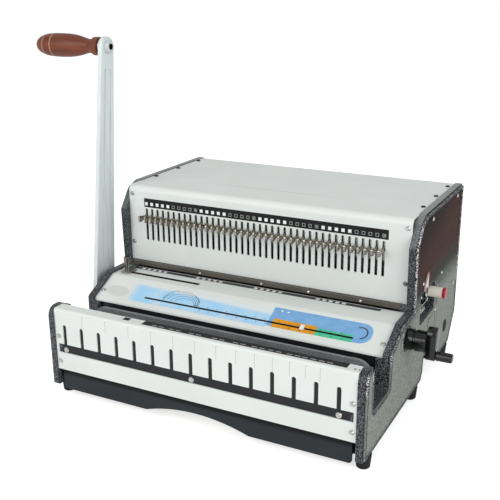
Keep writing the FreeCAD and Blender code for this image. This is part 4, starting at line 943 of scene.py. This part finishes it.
# %% Films
def open_slot(bm):
    """Cut a flat film along the slot's four sides and take out the strip between."""
    low, high = flat(SLOT_X[0], SLOT_Y[0]), flat(SLOT_X[1], SLOT_Y[1])
    for corner in (low, high):
        for across in ((1, 0, 0), (0, 1, 0)):
            bmesh.ops.bisect_plane(bm, geom=bm.verts[:] + bm.edges[:] + bm.faces[:],
                                   dist=0.0001 * MM, plane_co=corner, plane_no=across)
    middles = [(f, f.calc_center_median()) for f in bm.faces]
    gone = [f for f, m in middles if low.x < m.x < high.x and low.y < m.y < high.y]
    bmesh.ops.delete(bm, geom=gone, context="FACES")


def lay_on_slope(name, bm, finish, level):
    """Give a flat film its thickness, tip it onto the slope and make it a piece."""
    raised = bmesh.ops.extrude_face_region(bm, geom=bm.faces[:])["geom"]
    top = [v for v in raised if isinstance(v, bmesh.types.BMVert)]
    bmesh.ops.translate(bm, vec=(0, 0, INK * MM), verts=top)
    bmesh.ops.translate(bm, vec=(0, 0, level * INK * MM), verts=bm.verts)
    bmesh.ops.transform(bm, matrix=ONTO_SLOPE, verts=bm.verts)
    return finish_piece(name, bm, finish, "machine")


def slope_field(name, x, y, finish, level, round_left=0.0, round_right=0.0):
    """A printed field with rounded ends where asked, open over the slot."""
    bm = bmesh.new()
    corners = add_flat(bm, x, y)
    middle = flat(sum(x) / 2, 0).x
    for radius, left in ((round_left, True), (round_right, False)):
        ends = [v for v in corners if v.is_valid and (v.co.x < middle) == left]
        if radius:
            bmesh.ops.bevel(bm, geom=ends, offset=radius * MM, segments=8, profile=0.5,
                            affect="VERTICES", material=-1)
    open_slot(bm)
    lay_on_slope(name, bm, finish, level)


print("films", INK, "mm thick")

# %% [markdown]
# ## Pale blue print
#
# The largest field is a pale blue that fades out: to the left, toward its slanting top edge and
# in soft clouds. One material holds all three fades, as one share between white and blue.

# %% Pale blue film
TOP_EDGE_Y, TOP_EDGE_TILT = 103.5, 0.04


def pale_blue_film():
    """Pale blue print that fades toward its left end, its slanting top and in clouds."""
    finish, tree, shader, place = start_finish("ink_pale_blue", 0.5, 0.0, 0.25)
    where = add(tree, "SeparateXYZ", {0: place}).outputs
    fade = add(tree, "MapRange", {"Value": where["X"], "From Min": at(-152, 0, 0).x,
                                  "From Max": at(-138, 0, 0).x, "To Min": 0.45})
    drift = add(tree, "TexNoise", {"Vector": place, "Scale": per(22.0), "Detail": 3.0})
    cloud = add(tree, "MapRange", {"Value": drift, "From Min": 0.3, "From Max": 0.55,
                                   "To Min": 0.45})
    tilt = add(tree, "Math", {0: where["X"], 1: TOP_EDGE_TILT}, operation="MULTIPLY")
    rise = add(tree, "Math", {0: where["Y"], 1: tilt}, operation="ADD")
    top = at(0, TOP_EDGE_Y, 0).y + MIDDLE_X * TOP_EDGE_TILT
    soft = add(tree, "MapRange", {"Value": rise, "From Min": top, "From Max": top + 4 * MM,
                                  "To Min": 1.0, "To Max": 0.0})
    print_share = add(tree, "Math", {0: fade, 1: cloud}, operation="MULTIPLY")
    share = add(tree, "Math", {0: soft, 1: print_share}, operation="MULTIPLY")
    feed(shader, {"Base Color": add(tree, "Mix", {
        0: share, FIRST: colour("#DCE3E4"), SECOND: colour("#A4D4F4")}, data_type="RGBA")})
    return finish


finishes["pale_blue"] = pale_blue_film()
print("finishes:", len(finishes))

# %% [markdown]
# ## The four fields
#
# The pale blue field is for small wires. An orange and a green one lie on a blue label with a
# round end, for the larger ones.

# %% Fields
slope_field("size_scale_pale_field", (-149.4, 48), (86.0, 112), "pale_blue", 0, 7.0)
slope_field("size_scale_blue_field", (48, 174.5), (88.3, 114.7), "sky_ink", 0, 0.0, 13.0)
slope_field("size_scale_orange_field", (54, 109), (87.7, 99.5), "orange_ink", 1)
slope_field("size_scale_green_field", (109, 154), (87.7, 97.2), "green_ink", 1)

# %% [markdown]
# ## Marks on the scale
#
# Short dark dashes stand on both sides of the slot, and a few nested curves on the pale field
# stand for a wire loop that closes. A curve is a short edge spun round a centre and flattened
# in one direction, so it stays a smooth band with few faces.

# %% Dashes and curves
def add_curve(bm, centre, radii, start, turn, width=0.55, steps=20):
    """A thin band along part of an ellipse, in the slope's plane."""
    old = set(bm.verts)
    ends = [bm.verts.new(Vector((radii[0] + side, 0, 0)) * MM) for side in (-width / 2, width / 2)]
    edge = bm.edges.new(ends)
    bmesh.ops.spin(bm, geom=ends + [edge], cent=(0, 0, 0), axis=(0, 0, 1), dvec=(0, 0, 0),
                   angle=math.radians(turn), steps=steps, use_merge=turn >= 360)
    new = [v for v in bm.verts if v not in old]
    place = (Matrix.Translation(flat(*centre)) @ Matrix.Diagonal((1, radii[1] / radii[0], 1, 1))
             @ Matrix.Rotation(math.radians(start), 4, "Z"))
    bmesh.ops.transform(bm, matrix=place, verts=new)


# Each run of dashes: how many, the first one's X, the upper dashes' Y, and where the lower
# dashes start after them and their Y.
DASH_RUNS = ((8, -48, (95.8, 96.5), 2.6, (90.1, 90.8)),
             (7, 62, (95.6, 96.3), 1.0, (89.6, 90.3)))
DASH_STEP, UPPER_HALF, LOWER_LENGTH = 13.0, 0.8, 2.0
bm = bmesh.new()
for count, first_x, upper_y, lead, lower_y in DASH_RUNS:
    for i in range(count):
        x = first_x + i * DASH_STEP
        add_flat(bm, (x - UPPER_HALF, x + UPPER_HALF), upper_y)
        add_flat(bm, (x + lead, x + lead + LOWER_LENGTH), lower_y)
lay_on_slope("size_scale_dashes", bm, "slate_ink", 2)

# Each curve: its centre, its radii along and up the slope, and its first angle and turn.
CURVES = (((-75, 95), (27, 19), 20, 95), ((-73, 95), (22, 16), 5, 165),
          ((-71, 95), (18, 12.5), 0, 180), ((-69, 95), (14, 9), 5, 165),
          ((-84, 96), (17, 18), 95, 80), ((-80, 95), (20, 16), 120, 60),
          ((-63, 97), (13, 13), -20, 100))
LONG_DASH = ((-55.2, -50.2), (95.2, 96.1))
bm = bmesh.new()
for centre, radii, start, turn in CURVES:
    add_curve(bm, centre, radii, start, turn)
add_flat(bm, *LONG_DASH)
lay_on_slope("size_scale_curves", bm, "slate_ink", 2)

# %% [markdown]
# ## Ring, pale marks and oval
#
# A ring marks the blue label's round end, and two small pale marks stand near its top edge. The
# oval is one band as wide as its own radius doubled, so it closes in the middle.

# %% Ring, pale marks and oval
RING_CENTRE, RING_R, RING_WIDTH = (160.5, 101.5), 8.2, 1.6
OVAL_CENTRE, OVAL_RADII = (-170, 96), (8.6, 4.5)
PALE_MARKS = (((57.4, 60.2), (110.2, 111.8)), ((65.8, 68.6), (109.9, 111.4)))
bm = bmesh.new()
add_curve(bm, RING_CENTRE, (RING_R, RING_R), -80, 200, RING_WIDTH)
lay_on_slope("size_scale_ring", bm, "slate_ink", 2)
bm = bmesh.new()
for x, y in PALE_MARKS:
    add_flat(bm, x, y)
lay_on_slope("size_scale_pale_marks", bm, "white_ink", 1)
bm = bmesh.new()
add_curve(bm, OVAL_CENTRE, OVAL_RADII, 0, 360, 2 * OVAL_RADII[0], 40)
bmesh.ops.remove_doubles(bm, verts=bm.verts, dist=0.01 * MM)
lay_on_slope("slope_oval", bm, "faint_ink", 0)

# %% [markdown]
# ## The crease of the cover
#
# The upper cover is one bent sheet. Where its top begins to fall to the front there is a faint
# dark line of painted shade along the bend that fades toward both ends. It is a narrow film,
# and its own finish does the fade.

# %% Crease on the cover
COVER_TOP = 235.0
CREASE_X, CREASE_Y = (-108, 100), (222.7, 223.3)
CREASE_MIDDLE, FADE_FROM, FADE_TO = -5, 35, 100


def crease_shade_film():
    """A grey line of painted shade that fades into the white coat toward both ends."""
    finish, tree, shader, place = start_finish("painted_crease_shade", 0.45)
    across = add(tree, "SeparateXYZ", {0: place}).outputs["X"]
    off = add(tree, "Math", {0: across, 1: at(CREASE_MIDDLE, 0, 0).x}, operation="SUBTRACT")
    away = add(tree, "Math", {0: off}, operation="ABSOLUTE")
    share = add(tree, "MapRange", {"Value": away, "From Min": FADE_FROM * MM,
                                   "From Max": FADE_TO * MM})
    feed(shader, {"Base Color": add(tree, "Mix", {
        0: share, FIRST: colour("#9A9E9A"), SECOND: colour("#D9DDDA")}, data_type="RGBA")})
    return finish


finishes["crease"] = crease_shade_film()
bm = bmesh.new()
add_box(bm, CREASE_X, CREASE_Y, (COVER_TOP, COVER_TOP + INK))
finish_piece("cover_crease", bm, "crease", "machine")

# %% [markdown]
# ## Rivets on the pin pulls
#
# Every pull has a bright rivet that the light picks out. Each is a flattened ball with few
# faces, since it is repeated eighty times, one on each side of each pull.

# %% Rivets
PULL_Y, PULL_Z = 153.0, 195.0
PULL_HALF = 0.9
RIVET_R, RIVET_RISE, RIVET_SIDES = 1.9, 1.0, 8


def add_dome(bm, centre, radius, rise, axis="X", sides=14):
    """A flattened ball with half of it sunk in, which reads as a low round head."""
    rings = bmesh.ops.create_uvsphere(bm, u_segments=sides, v_segments=8, radius=1.0)["verts"]
    bmesh.ops.scale(bm, vec=(radius * MM, radius * MM, rise * MM), verts=rings)
    turn = {"X": QUARTER_TURN, "Z": Matrix.Identity(4)}[axis]
    bmesh.ops.transform(bm, matrix=Matrix.Translation(at(*centre)) @ turn, verts=rings)


PULL_GROUPS = ("1_10", "11_20", "21_30", "31_40")
IN_GROUP = PIN_COUNT // len(PULL_GROUPS)
for number, group in enumerate(PULL_GROUPS):
    bm = bmesh.new()
    for i in range(number * IN_GROUP, (number + 1) * IN_GROUP):
        for side in (-1, 1):
            add_dome(bm, (pin_x(i) + side * PULL_HALF, PULL_Y, PULL_Z), RIVET_R,
                     RIVET_RISE, "X", RIVET_SIDES)
    finish_piece(f"pull_rivets_{group}", bm, "screw_steel", f"pin_pulls_{group}")

# %% [markdown]
# ## The crank
#
# The black crank is one moulding: a round boss with a groove, and an arm that narrows to the
# small grip. The boss is round, so its outline is spun about the lead screw's axis.

# %% The crank's boss
SCREW_Y, SCREW_Z = 133.0, 104.5
BOSS_X = 206.0
BOSS_PROFILE = ((0, 0), (0, 11.9), (0.6, 12.5), (8.2, 12.5), (8.9, 11.3), (10.1, 11.3),
                (10.8, 12.5), (22.6, 12.1), (23.2, 11.4), (23.2, 0))


def add_turned(bm, profile, centre, steps=32):
    """A body turned about X: pairs of distance along X and radius, in millimetres."""
    start = at(*centre)
    verts = [bm.verts.new(start + Vector((run, 0, radius)) * MM) for run, radius in profile]
    edges = [bm.edges.new(pair) for pair in zip(verts, verts[1:])]
    bmesh.ops.spin(bm, geom=verts + edges, cent=start, axis=(1, 0, 0), dvec=(0, 0, 0),
                   angle=math.tau, steps=steps, use_merge=True)
    bmesh.ops.remove_doubles(bm, verts=bm.verts, dist=0.001 * MM)


bm = bmesh.new()
add_turned(bm, BOSS_PROFILE, (BOSS_X, SCREW_Y, SCREW_Z), 40)
print("boss", len(bm.faces), "faces")

# %% [markdown]
# ## The crank's arm
#
# The arm is the hull of two circles, which gives its straight sides without working them out,
# with its rims bevelled. It joins the boss in one mesh, which stands for the plainer solid.

# %% The crank's arm
ARM_X = (229.0, 240.0)
ARM_TOP, ARM_TOP_R = (135.0, 114.0), 9.0
ARM_LOW, ARM_LOW_R = (130.0, 91.5), 6.4
ARM_EDGE = 1.2
crank = bmesh.new()
for x in ARM_X:
    for (y, z), radius in ((ARM_TOP, ARM_TOP_R), (ARM_LOW, ARM_LOW_R)):
        where = Matrix.Translation(at(x, y, z)) @ QUARTER_TURN
        bmesh.ops.create_circle(crank, segments=32, radius=radius * MM, matrix=where)
hull = bmesh.ops.convex_hull(crank, input=crank.verts[:])
bmesh.ops.delete(crank, geom=[v for v in hull["geom_interior"]
                              if isinstance(v, bmesh.types.BMVert)], context="VERTS")
bmesh.ops.dissolve_limit(crank, angle_limit=math.radians(1), verts=crank.verts[:],
                         edges=crank.edges[:])
rims = [e for e in crank.edges if e.calc_face_angle(0) > math.radians(60)]
bmesh.ops.bevel(crank, geom=rims, offset=ARM_EDGE * MM, segments=3, profile=0.5,
                affect="EDGES", material=-1)
arm_mesh = bpy.data.meshes.new("crank_arm_draft")
crank.to_mesh(arm_mesh)
crank.free()
bm.from_mesh(arm_mesh)
bpy.data.meshes.remove(arm_mesh)
piece = finish_piece("moulded_crank", bm, "black_plastic", "selector")
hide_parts("hand_crank")

# %% [markdown]
# ## The wooden grip
#
# The real grip is turned in one sweep: a flange at the bolt, a narrow neck and a long swelling
# that ends round. Its outline starts in the bolt's bore, and each place on it is the distance
# from the lever and the radius. It is spun about the bolt and stands for the plainer solid.

# %% Turned grip
GRIP_X = -226.4
BORE_LENGTH, BORE_R = 90.6, 4.3
BORE = ((BORE_LENGTH, 0), (BORE_LENGTH, BORE_R), (0, BORE_R))
FLANGE = ((0, 10.9), (0.6, 11.8), (8.4, 11.8), (9.4, 11.2))
NECK = ((11.5, 9.9), (14.5, 9.1), (18, 9.1), (22, 9.9), (27, 11.3), (33, 12.8))
SWELL = ((41, 14.2), (50, 15.0), (60, 15.3), (72, 15.2), (81, 14.6), (88, 13.4))
ROUND_END = ((94, 11.4), (98.5, 8.8), (101.5, 5.8), (103.0, 2.9), (103.5, 0))
GRIP_PROFILE = BORE + FLANGE + NECK + SWELL + ROUND_END
bm = bmesh.new()
add_turned(bm, [(-run, radius) for run, radius in GRIP_PROFILE], (GRIP_X, BOLT_Y, BOLT_Z), 48)
grip = finish_piece("turned_grip", bm, "wood", "lever_grip")
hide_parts("lever_grip")

# %% [markdown]
# ## Behind the side window
#
# The margin dial turns in the side cover's window. Behind it sit a notched click wheel on the
# dial's shaft and a flat spring that rests in its notches. They are chromed, so they stand out
# of the dark. The wheel is a disc with every fourth rim place drawn in, so that the dial feels
# a stop at each.

# %% Click wheel and its spring
DIAL_Y, DIAL_Z = 235.0, 127.0
WHEEL_X, WHEEL_R, WHEEL_THICK = 196.0, 8.0, 3.0
NOTCHES, NOTCH_SHARE = 12, 0.88


def notched_wheel():
    """A disc whose rim is drawn in at every fourth place."""
    bm = bmesh.new()
    rim = bmesh.ops.create_circle(bm, cap_ends=True, segments=NOTCHES * 4,
                                  radius=WHEEL_R * MM)["verts"]
    low = [v for i, v in enumerate(rim) if i % 4 == 0]
    bmesh.ops.scale(bm, vec=(NOTCH_SHARE, NOTCH_SHARE, 1), verts=low)
    raised = bmesh.ops.extrude_face_region(bm, geom=bm.faces[:])["geom"]
    bmesh.ops.translate(bm, vec=(0, 0, WHEEL_THICK * MM),
                        verts=[v for v in raised if isinstance(v, bmesh.types.BMVert)])
    place = Matrix.Translation(at(WHEEL_X, DIAL_Y, DIAL_Z)) @ QUARTER_TURN
    bmesh.ops.transform(bm, matrix=place, verts=bm.verts)
    return bm


finish_piece("click_wheel", notched_wheel(), "chrome", "margin_dial")
# The spring's block stands on the window's floor, its leaf runs under the wheel, and a tooth at
# the leaf's end rests in a notch. Each is given by its X, Y and Z spans.
SPRING_BLOCK = ((189, 201), (193, 203), (101.0, 115.0))
SPRING_LEAF = ((194, 200), (196, 238), (115.0, 115.9))
SPRING_TOOTH = ((194, 200), (233, 238), (115.9, 118.2))
LEAF_SCREW, LEAF_SCREW_R, LEAF_SCREW_RISE = (195, 199, 115.9), 2.6, 1.6
bm = bmesh.new()
add_box(bm, *SPRING_BLOCK, bevel_mm=0.5)
add_box(bm, *SPRING_LEAF)
add_box(bm, *SPRING_TOOTH, bevel_mm=0.4)
add_dome(bm, LEAF_SCREW, LEAF_SCREW_R, LEAF_SCREW_RISE, "Z")
finish_piece("click_spring", bm, "chrome", "machine")

# %% [markdown]
# ## Plate, posts and coil in the window
#
# In front of the dial a zinc plate carries four bright posts, and a small coil spring lies
# below them. The posts are short turned pins with a chamfered end. The coil is a small circle
# that is spun round the coil's axis and moved along it at each step.

# %% Plate, posts and coil
WINDOW_PLATE = ((187.6, 189.0), (190.2, 221.0), (101.2, 135.3))
# Each post: its Y, its Z and its radius.
POSTS = ((197.4, 130.5, 2.4), (209.0, 126.7, 2.2), (212.5, 115.0, 1.8), (218.0, 131.0, 1.6))
SHANK, CHAMFER_END, POST_LENGTH, CHAMFER_SHARE = 9.5, 10.6, 11.0, 0.7
COIL_FOOT, COIL_R, COIL_WIRE, COIL_TURNS, COIL_LENGTH = (196, 207, 104.6), 2.4, 0.55, 12, 24


def add_coil(bm, foot, axis, radius, wire, turns, rise, steps=16):
    """A coil of round wire that climbs from foot along axis; its sizes are in millimetres."""
    axis = Vector(axis)
    side = axis.orthogonal().normalized()
    along_wire = axis.cross(side).to_track_quat("Z", "Y").to_matrix().to_4x4()
    ring = bmesh.ops.create_circle(bm, segments=6, radius=wire * MM)["verts"]
    bmesh.ops.transform(bm, matrix=Matrix.Translation(foot + side * radius * MM) @ along_wire,
                        verts=ring)
    edges = list({edge for vert in ring for edge in vert.link_edges})
    bmesh.ops.spin(bm, geom=ring + edges, cent=foot, axis=axis,
                   dvec=axis * rise * MM / (turns * steps),
                   angle=math.tau * turns, steps=turns * steps)
    bmesh.ops.holes_fill(bm, edges=[edge for edge in bm.edges if edge.is_boundary])


bm = bmesh.new()
add_box(bm, *WINDOW_PLATE)
finish_piece("window_plate", bm, "zinc", "machine")
bm = bmesh.new()
for y, z, radius in POSTS:
    profile = ((0, 0), (0, radius), (SHANK, radius), (CHAMFER_END, radius * CHAMFER_SHARE),
               (POST_LENGTH, 0))
    add_turned(bm, profile, (WINDOW_PLATE[0][1], y, z), 16)
finish_piece("window_posts", bm, "chrome", "machine")
bm = bmesh.new()
add_coil(bm, at(*COIL_FOOT), (0, 1, 0), COIL_R, COIL_WIRE, COIL_TURNS, COIL_LENGTH)
finish_piece("adjuster_spring", bm, "chrome", "machine")

# %% [markdown]
# ## Edges of the scale plate
#
# The pointed plate over the window has red edges and a dark notch near its foot. They are
# printed, so they are drawn as thin bars that lie on the plate.

# %% Scale edges and notch
SCALE_X = 205.5
EDGE_THICK, EDGE_WIDTH = 0.3, 0.8
SCALE_EDGES = (((199.4, 138.6), (199.4, 146.0)), ((199.4, 146.0), (214.0, 160.6)),
               ((214.6, 138.6), (214.6, 160.4)))
NOTCH_FROM, NOTCH_TO, NOTCH_THICK, NOTCH_WIDTH = (204.0, 140.2), (209.5, 140.2), 0.2, 3.0


def add_side_bar(bm, x, start, end, width):
    """A bar between two Y and Z places, lying flat against the side of the machine."""
    a, b = at(x[0], *start), at(x[0], *end)
    run = b - a
    turn = Matrix.Rotation(math.atan2(run.z, run.y), 4, "X")
    middle = (a + b) / 2 + Vector(((x[1] - x[0]) / 2 * MM, 0, 0))
    size = ((x[1] - x[0]) * MM, run.length, width * MM, 1)
    bmesh.ops.create_cube(bm, size=1, matrix=Matrix.Translation(middle) @ turn
                          @ Matrix.Diagonal(size))


bm = bmesh.new()
for start, end in SCALE_EDGES:
    add_side_bar(bm, (SCALE_X, SCALE_X + EDGE_THICK), start, end, EDGE_WIDTH)
finish_piece("scale_edges", bm, "red_ink", "machine")
bm = bmesh.new()
add_side_bar(bm, (SCALE_X, SCALE_X + NOTCH_THICK), NOTCH_FROM, NOTCH_TO, NOTCH_WIDTH)
finish_piece("scale_notch", bm, "black_ink", "machine")

# %% [markdown]
# ## The return springs
#
# Two coil springs lift the punch bar. Their solids keep one length at every pose, so two drawn
# coils, 55 mm long, stand in for them. Nothing shows of them from outside.

# %% Return springs
SPRING_X, SPRING_Y, SPRING_FOOT = (-150, 150), 213, 140.0
SPRING_LENGTH, SPRING_R, SPRING_WIRE, SPRING_TURNS = 55.0, 6.0, 0.9, 6
bm = bmesh.new()
for x in SPRING_X:
    add_coil(bm, at(x, SPRING_Y, SPRING_FOOT + SPRING_WIRE), (0, 0, 1), SPRING_R,
             SPRING_WIRE, SPRING_TURNS, SPRING_LENGTH - 2 * SPRING_WIRE)
coils = finish_piece("punch_springs", bm, "spring_steel", "machine")
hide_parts("return_springs")
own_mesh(coils)

# %% [markdown]
# ## Small things on the side cover
#
# The side cover carries a few polished studs beside the window, a dull plug low at its rear,
# a short row of bright beads above the plug that make a painted glint along a ridge of the
# cover, and a thin wire that hangs beside the window.

# %% Side studs, plug, beads and wire
PANEL_X = 204.5
STUDS, STUD_R, STUD_RISE = ((194.4, 150.1), (281.0, 137.0)), 2.2, 1.0
PLUG_Y, PLUG_Z, PLUG_R, PLUG_RISE = 317, 49.5, 9.0, 1.2
bm = bmesh.new()
for y, z in STUDS:
    add_dome(bm, (PANEL_X, y, z), STUD_R, STUD_RISE)
finish_piece("side_cover_studs", bm, "screw_steel", "machine")
bm = bmesh.new()
add_dome(bm, (PANEL_X, PLUG_Y, PLUG_Z), PLUG_R, PLUG_RISE, "X", 24)
finish_piece("side_plug", bm, "rubber", "machine")

# Painted highlight: the bright beads make a dotted glint along a ridge of the cover.
BEADS, BEAD_R, BEAD_RISE = 14, 0.8, 0.5
BEAD_FROM, BEAD_TO = (304.6, 67.5), (314.7, 110.3)
bm = bmesh.new()
for i in range(BEADS):
    share = i / (BEADS - 1)
    y, z = (a + (b - a) * share for a, b in zip(BEAD_FROM, BEAD_TO))
    add_dome(bm, (PANEL_X, y, z), BEAD_R, BEAD_RISE, "X", 8)
finish_piece("side_glint_beads", bm, "screw_steel", "machine")

WIRE_THICK, WIRE_WIDTH = 1.1, 1.0
WIRE_TOP, WIRE_END = (256.5, 94.5), (259.5, 67.0)
WIRE_STUD, WIRE_STUD_R, WIRE_STUD_RISE = (256.5, 95.0), 2.0, 1.8
bm = bmesh.new()
add_side_bar(bm, (PANEL_X, PANEL_X + WIRE_THICK), WIRE_TOP, WIRE_END, WIRE_WIDTH)
add_dome(bm, (PANEL_X, *WIRE_STUD), WIRE_STUD_R, WIRE_STUD_RISE, "X", 12)
finish_piece("side_wire", bm, "chrome", "machine")

# %% [markdown]
# ## The floor
#
# The machine stands on white studio paper. The paper glows a little to the camera, so that the
# background is white with no more light on the machine. In glossy finishes it glows less, or
# the steep sides would mirror it and turn pale.

# %% Studio floor
GLOW_SEEN = 0.6
GLOW_MIRRORED = 0.15
FLOOR_HALF = 6.0
WHITE = (1, 1, 1, 1)


def studio_white():
    """A white floor that reads as paper to the camera and keeps a soft shadow."""
    finish = bpy.data.materials.new("studio_paper")
    finish.use_nodes = True
    tree = finish.node_tree
    out = tree.nodes["Material Output"]
    tree.nodes.remove(tree.nodes["Principled BSDF"])
    paper = add(tree, "BsdfDiffuse", {"Color": colour("#F4F4F4")})
    rays = add(tree, "LightPath").outputs
    seen = add(tree, "Math", {0: rays["Is Camera Ray"], 1: GLOW_SEEN}, operation="MULTIPLY")
    mirrored = add(tree, "Math", {0: rays["Is Glossy Ray"], 1: GLOW_MIRRORED},
                   operation="MULTIPLY")
    strength = add(tree, "Math", {0: seen, 1: mirrored}, operation="ADD")
    glow = add(tree, "Emission", {"Color": WHITE, "Strength": strength})
    feed(out, {"Surface": add(tree, "AddShader", {0: paper, 1: glow})})
    return finish


bm = bmesh.new()
bmesh.ops.create_grid(bm, x_segments=1, y_segments=1, size=FLOOR_HALF)
mesh = bpy.data.meshes.new("studio_floor")
bm.to_mesh(mesh)
bm.free()
mesh.materials.append(studio_white())
floor = bpy.data.objects.new("studio_floor", mesh)
bpy.context.scene.collection.objects.link(floor)
print("floor", 2 * FLOOR_HALF, "m wide")

# %% [markdown]
# ## The sky and the lamps
#
# A weak even sky fills the shadows; the camera sees it as plain white. A large soft lamp from
# the front left gives the white sheets their even tone, and a weaker one from the right opens
# up the side cover and the crank.

# %% Sky and lamps
SKY_FOR_LIGHT = 0.64
world = bpy.data.worlds.new("studio_sky")
world.use_nodes = True
bpy.context.scene.world = world
sky = world.node_tree
rays = add(sky, "LightPath").outputs
seen = add(sky, "Math", {0: rays["Is Camera Ray"], 1: rays["Is Transmission Ray"]},
           operation="MAXIMUM")
strength = add(sky, "MapRange", {"Value": seen, "To Min": SKY_FOR_LIGHT})
feed(sky.nodes["Background"], {"Color": WHITE, "Strength": strength})


def soft_light(name, where, size, power):
    """A large square lamp that looks at the machine's middle; metres and watts."""
    lamp = bpy.data.lights.new(name, "AREA")
    lamp.shape = "SQUARE"
    lamp.size = size
    lamp.energy = power
    holder = bpy.data.objects.new(name, lamp)
    spot = Vector(where)
    turn = (LIT_POINT - spot).to_track_quat("-Z", "Y").to_matrix().to_4x4()
    holder.matrix_world = Matrix.Translation(spot) @ turn
    bpy.context.scene.collection.objects.link(holder)


LIT_POINT = Vector((0, 0, 0.2))
soft_light("front_softbox", (-0.8, -2.0, 1.2), 1.4, 19)
soft_light("right_softbox", (1.9, -0.9, 0.9), 1.2, 15)
bpy.context.scene.view_settings.view_transform = "Standard"
print("lamps:", len(bpy.data.lights))
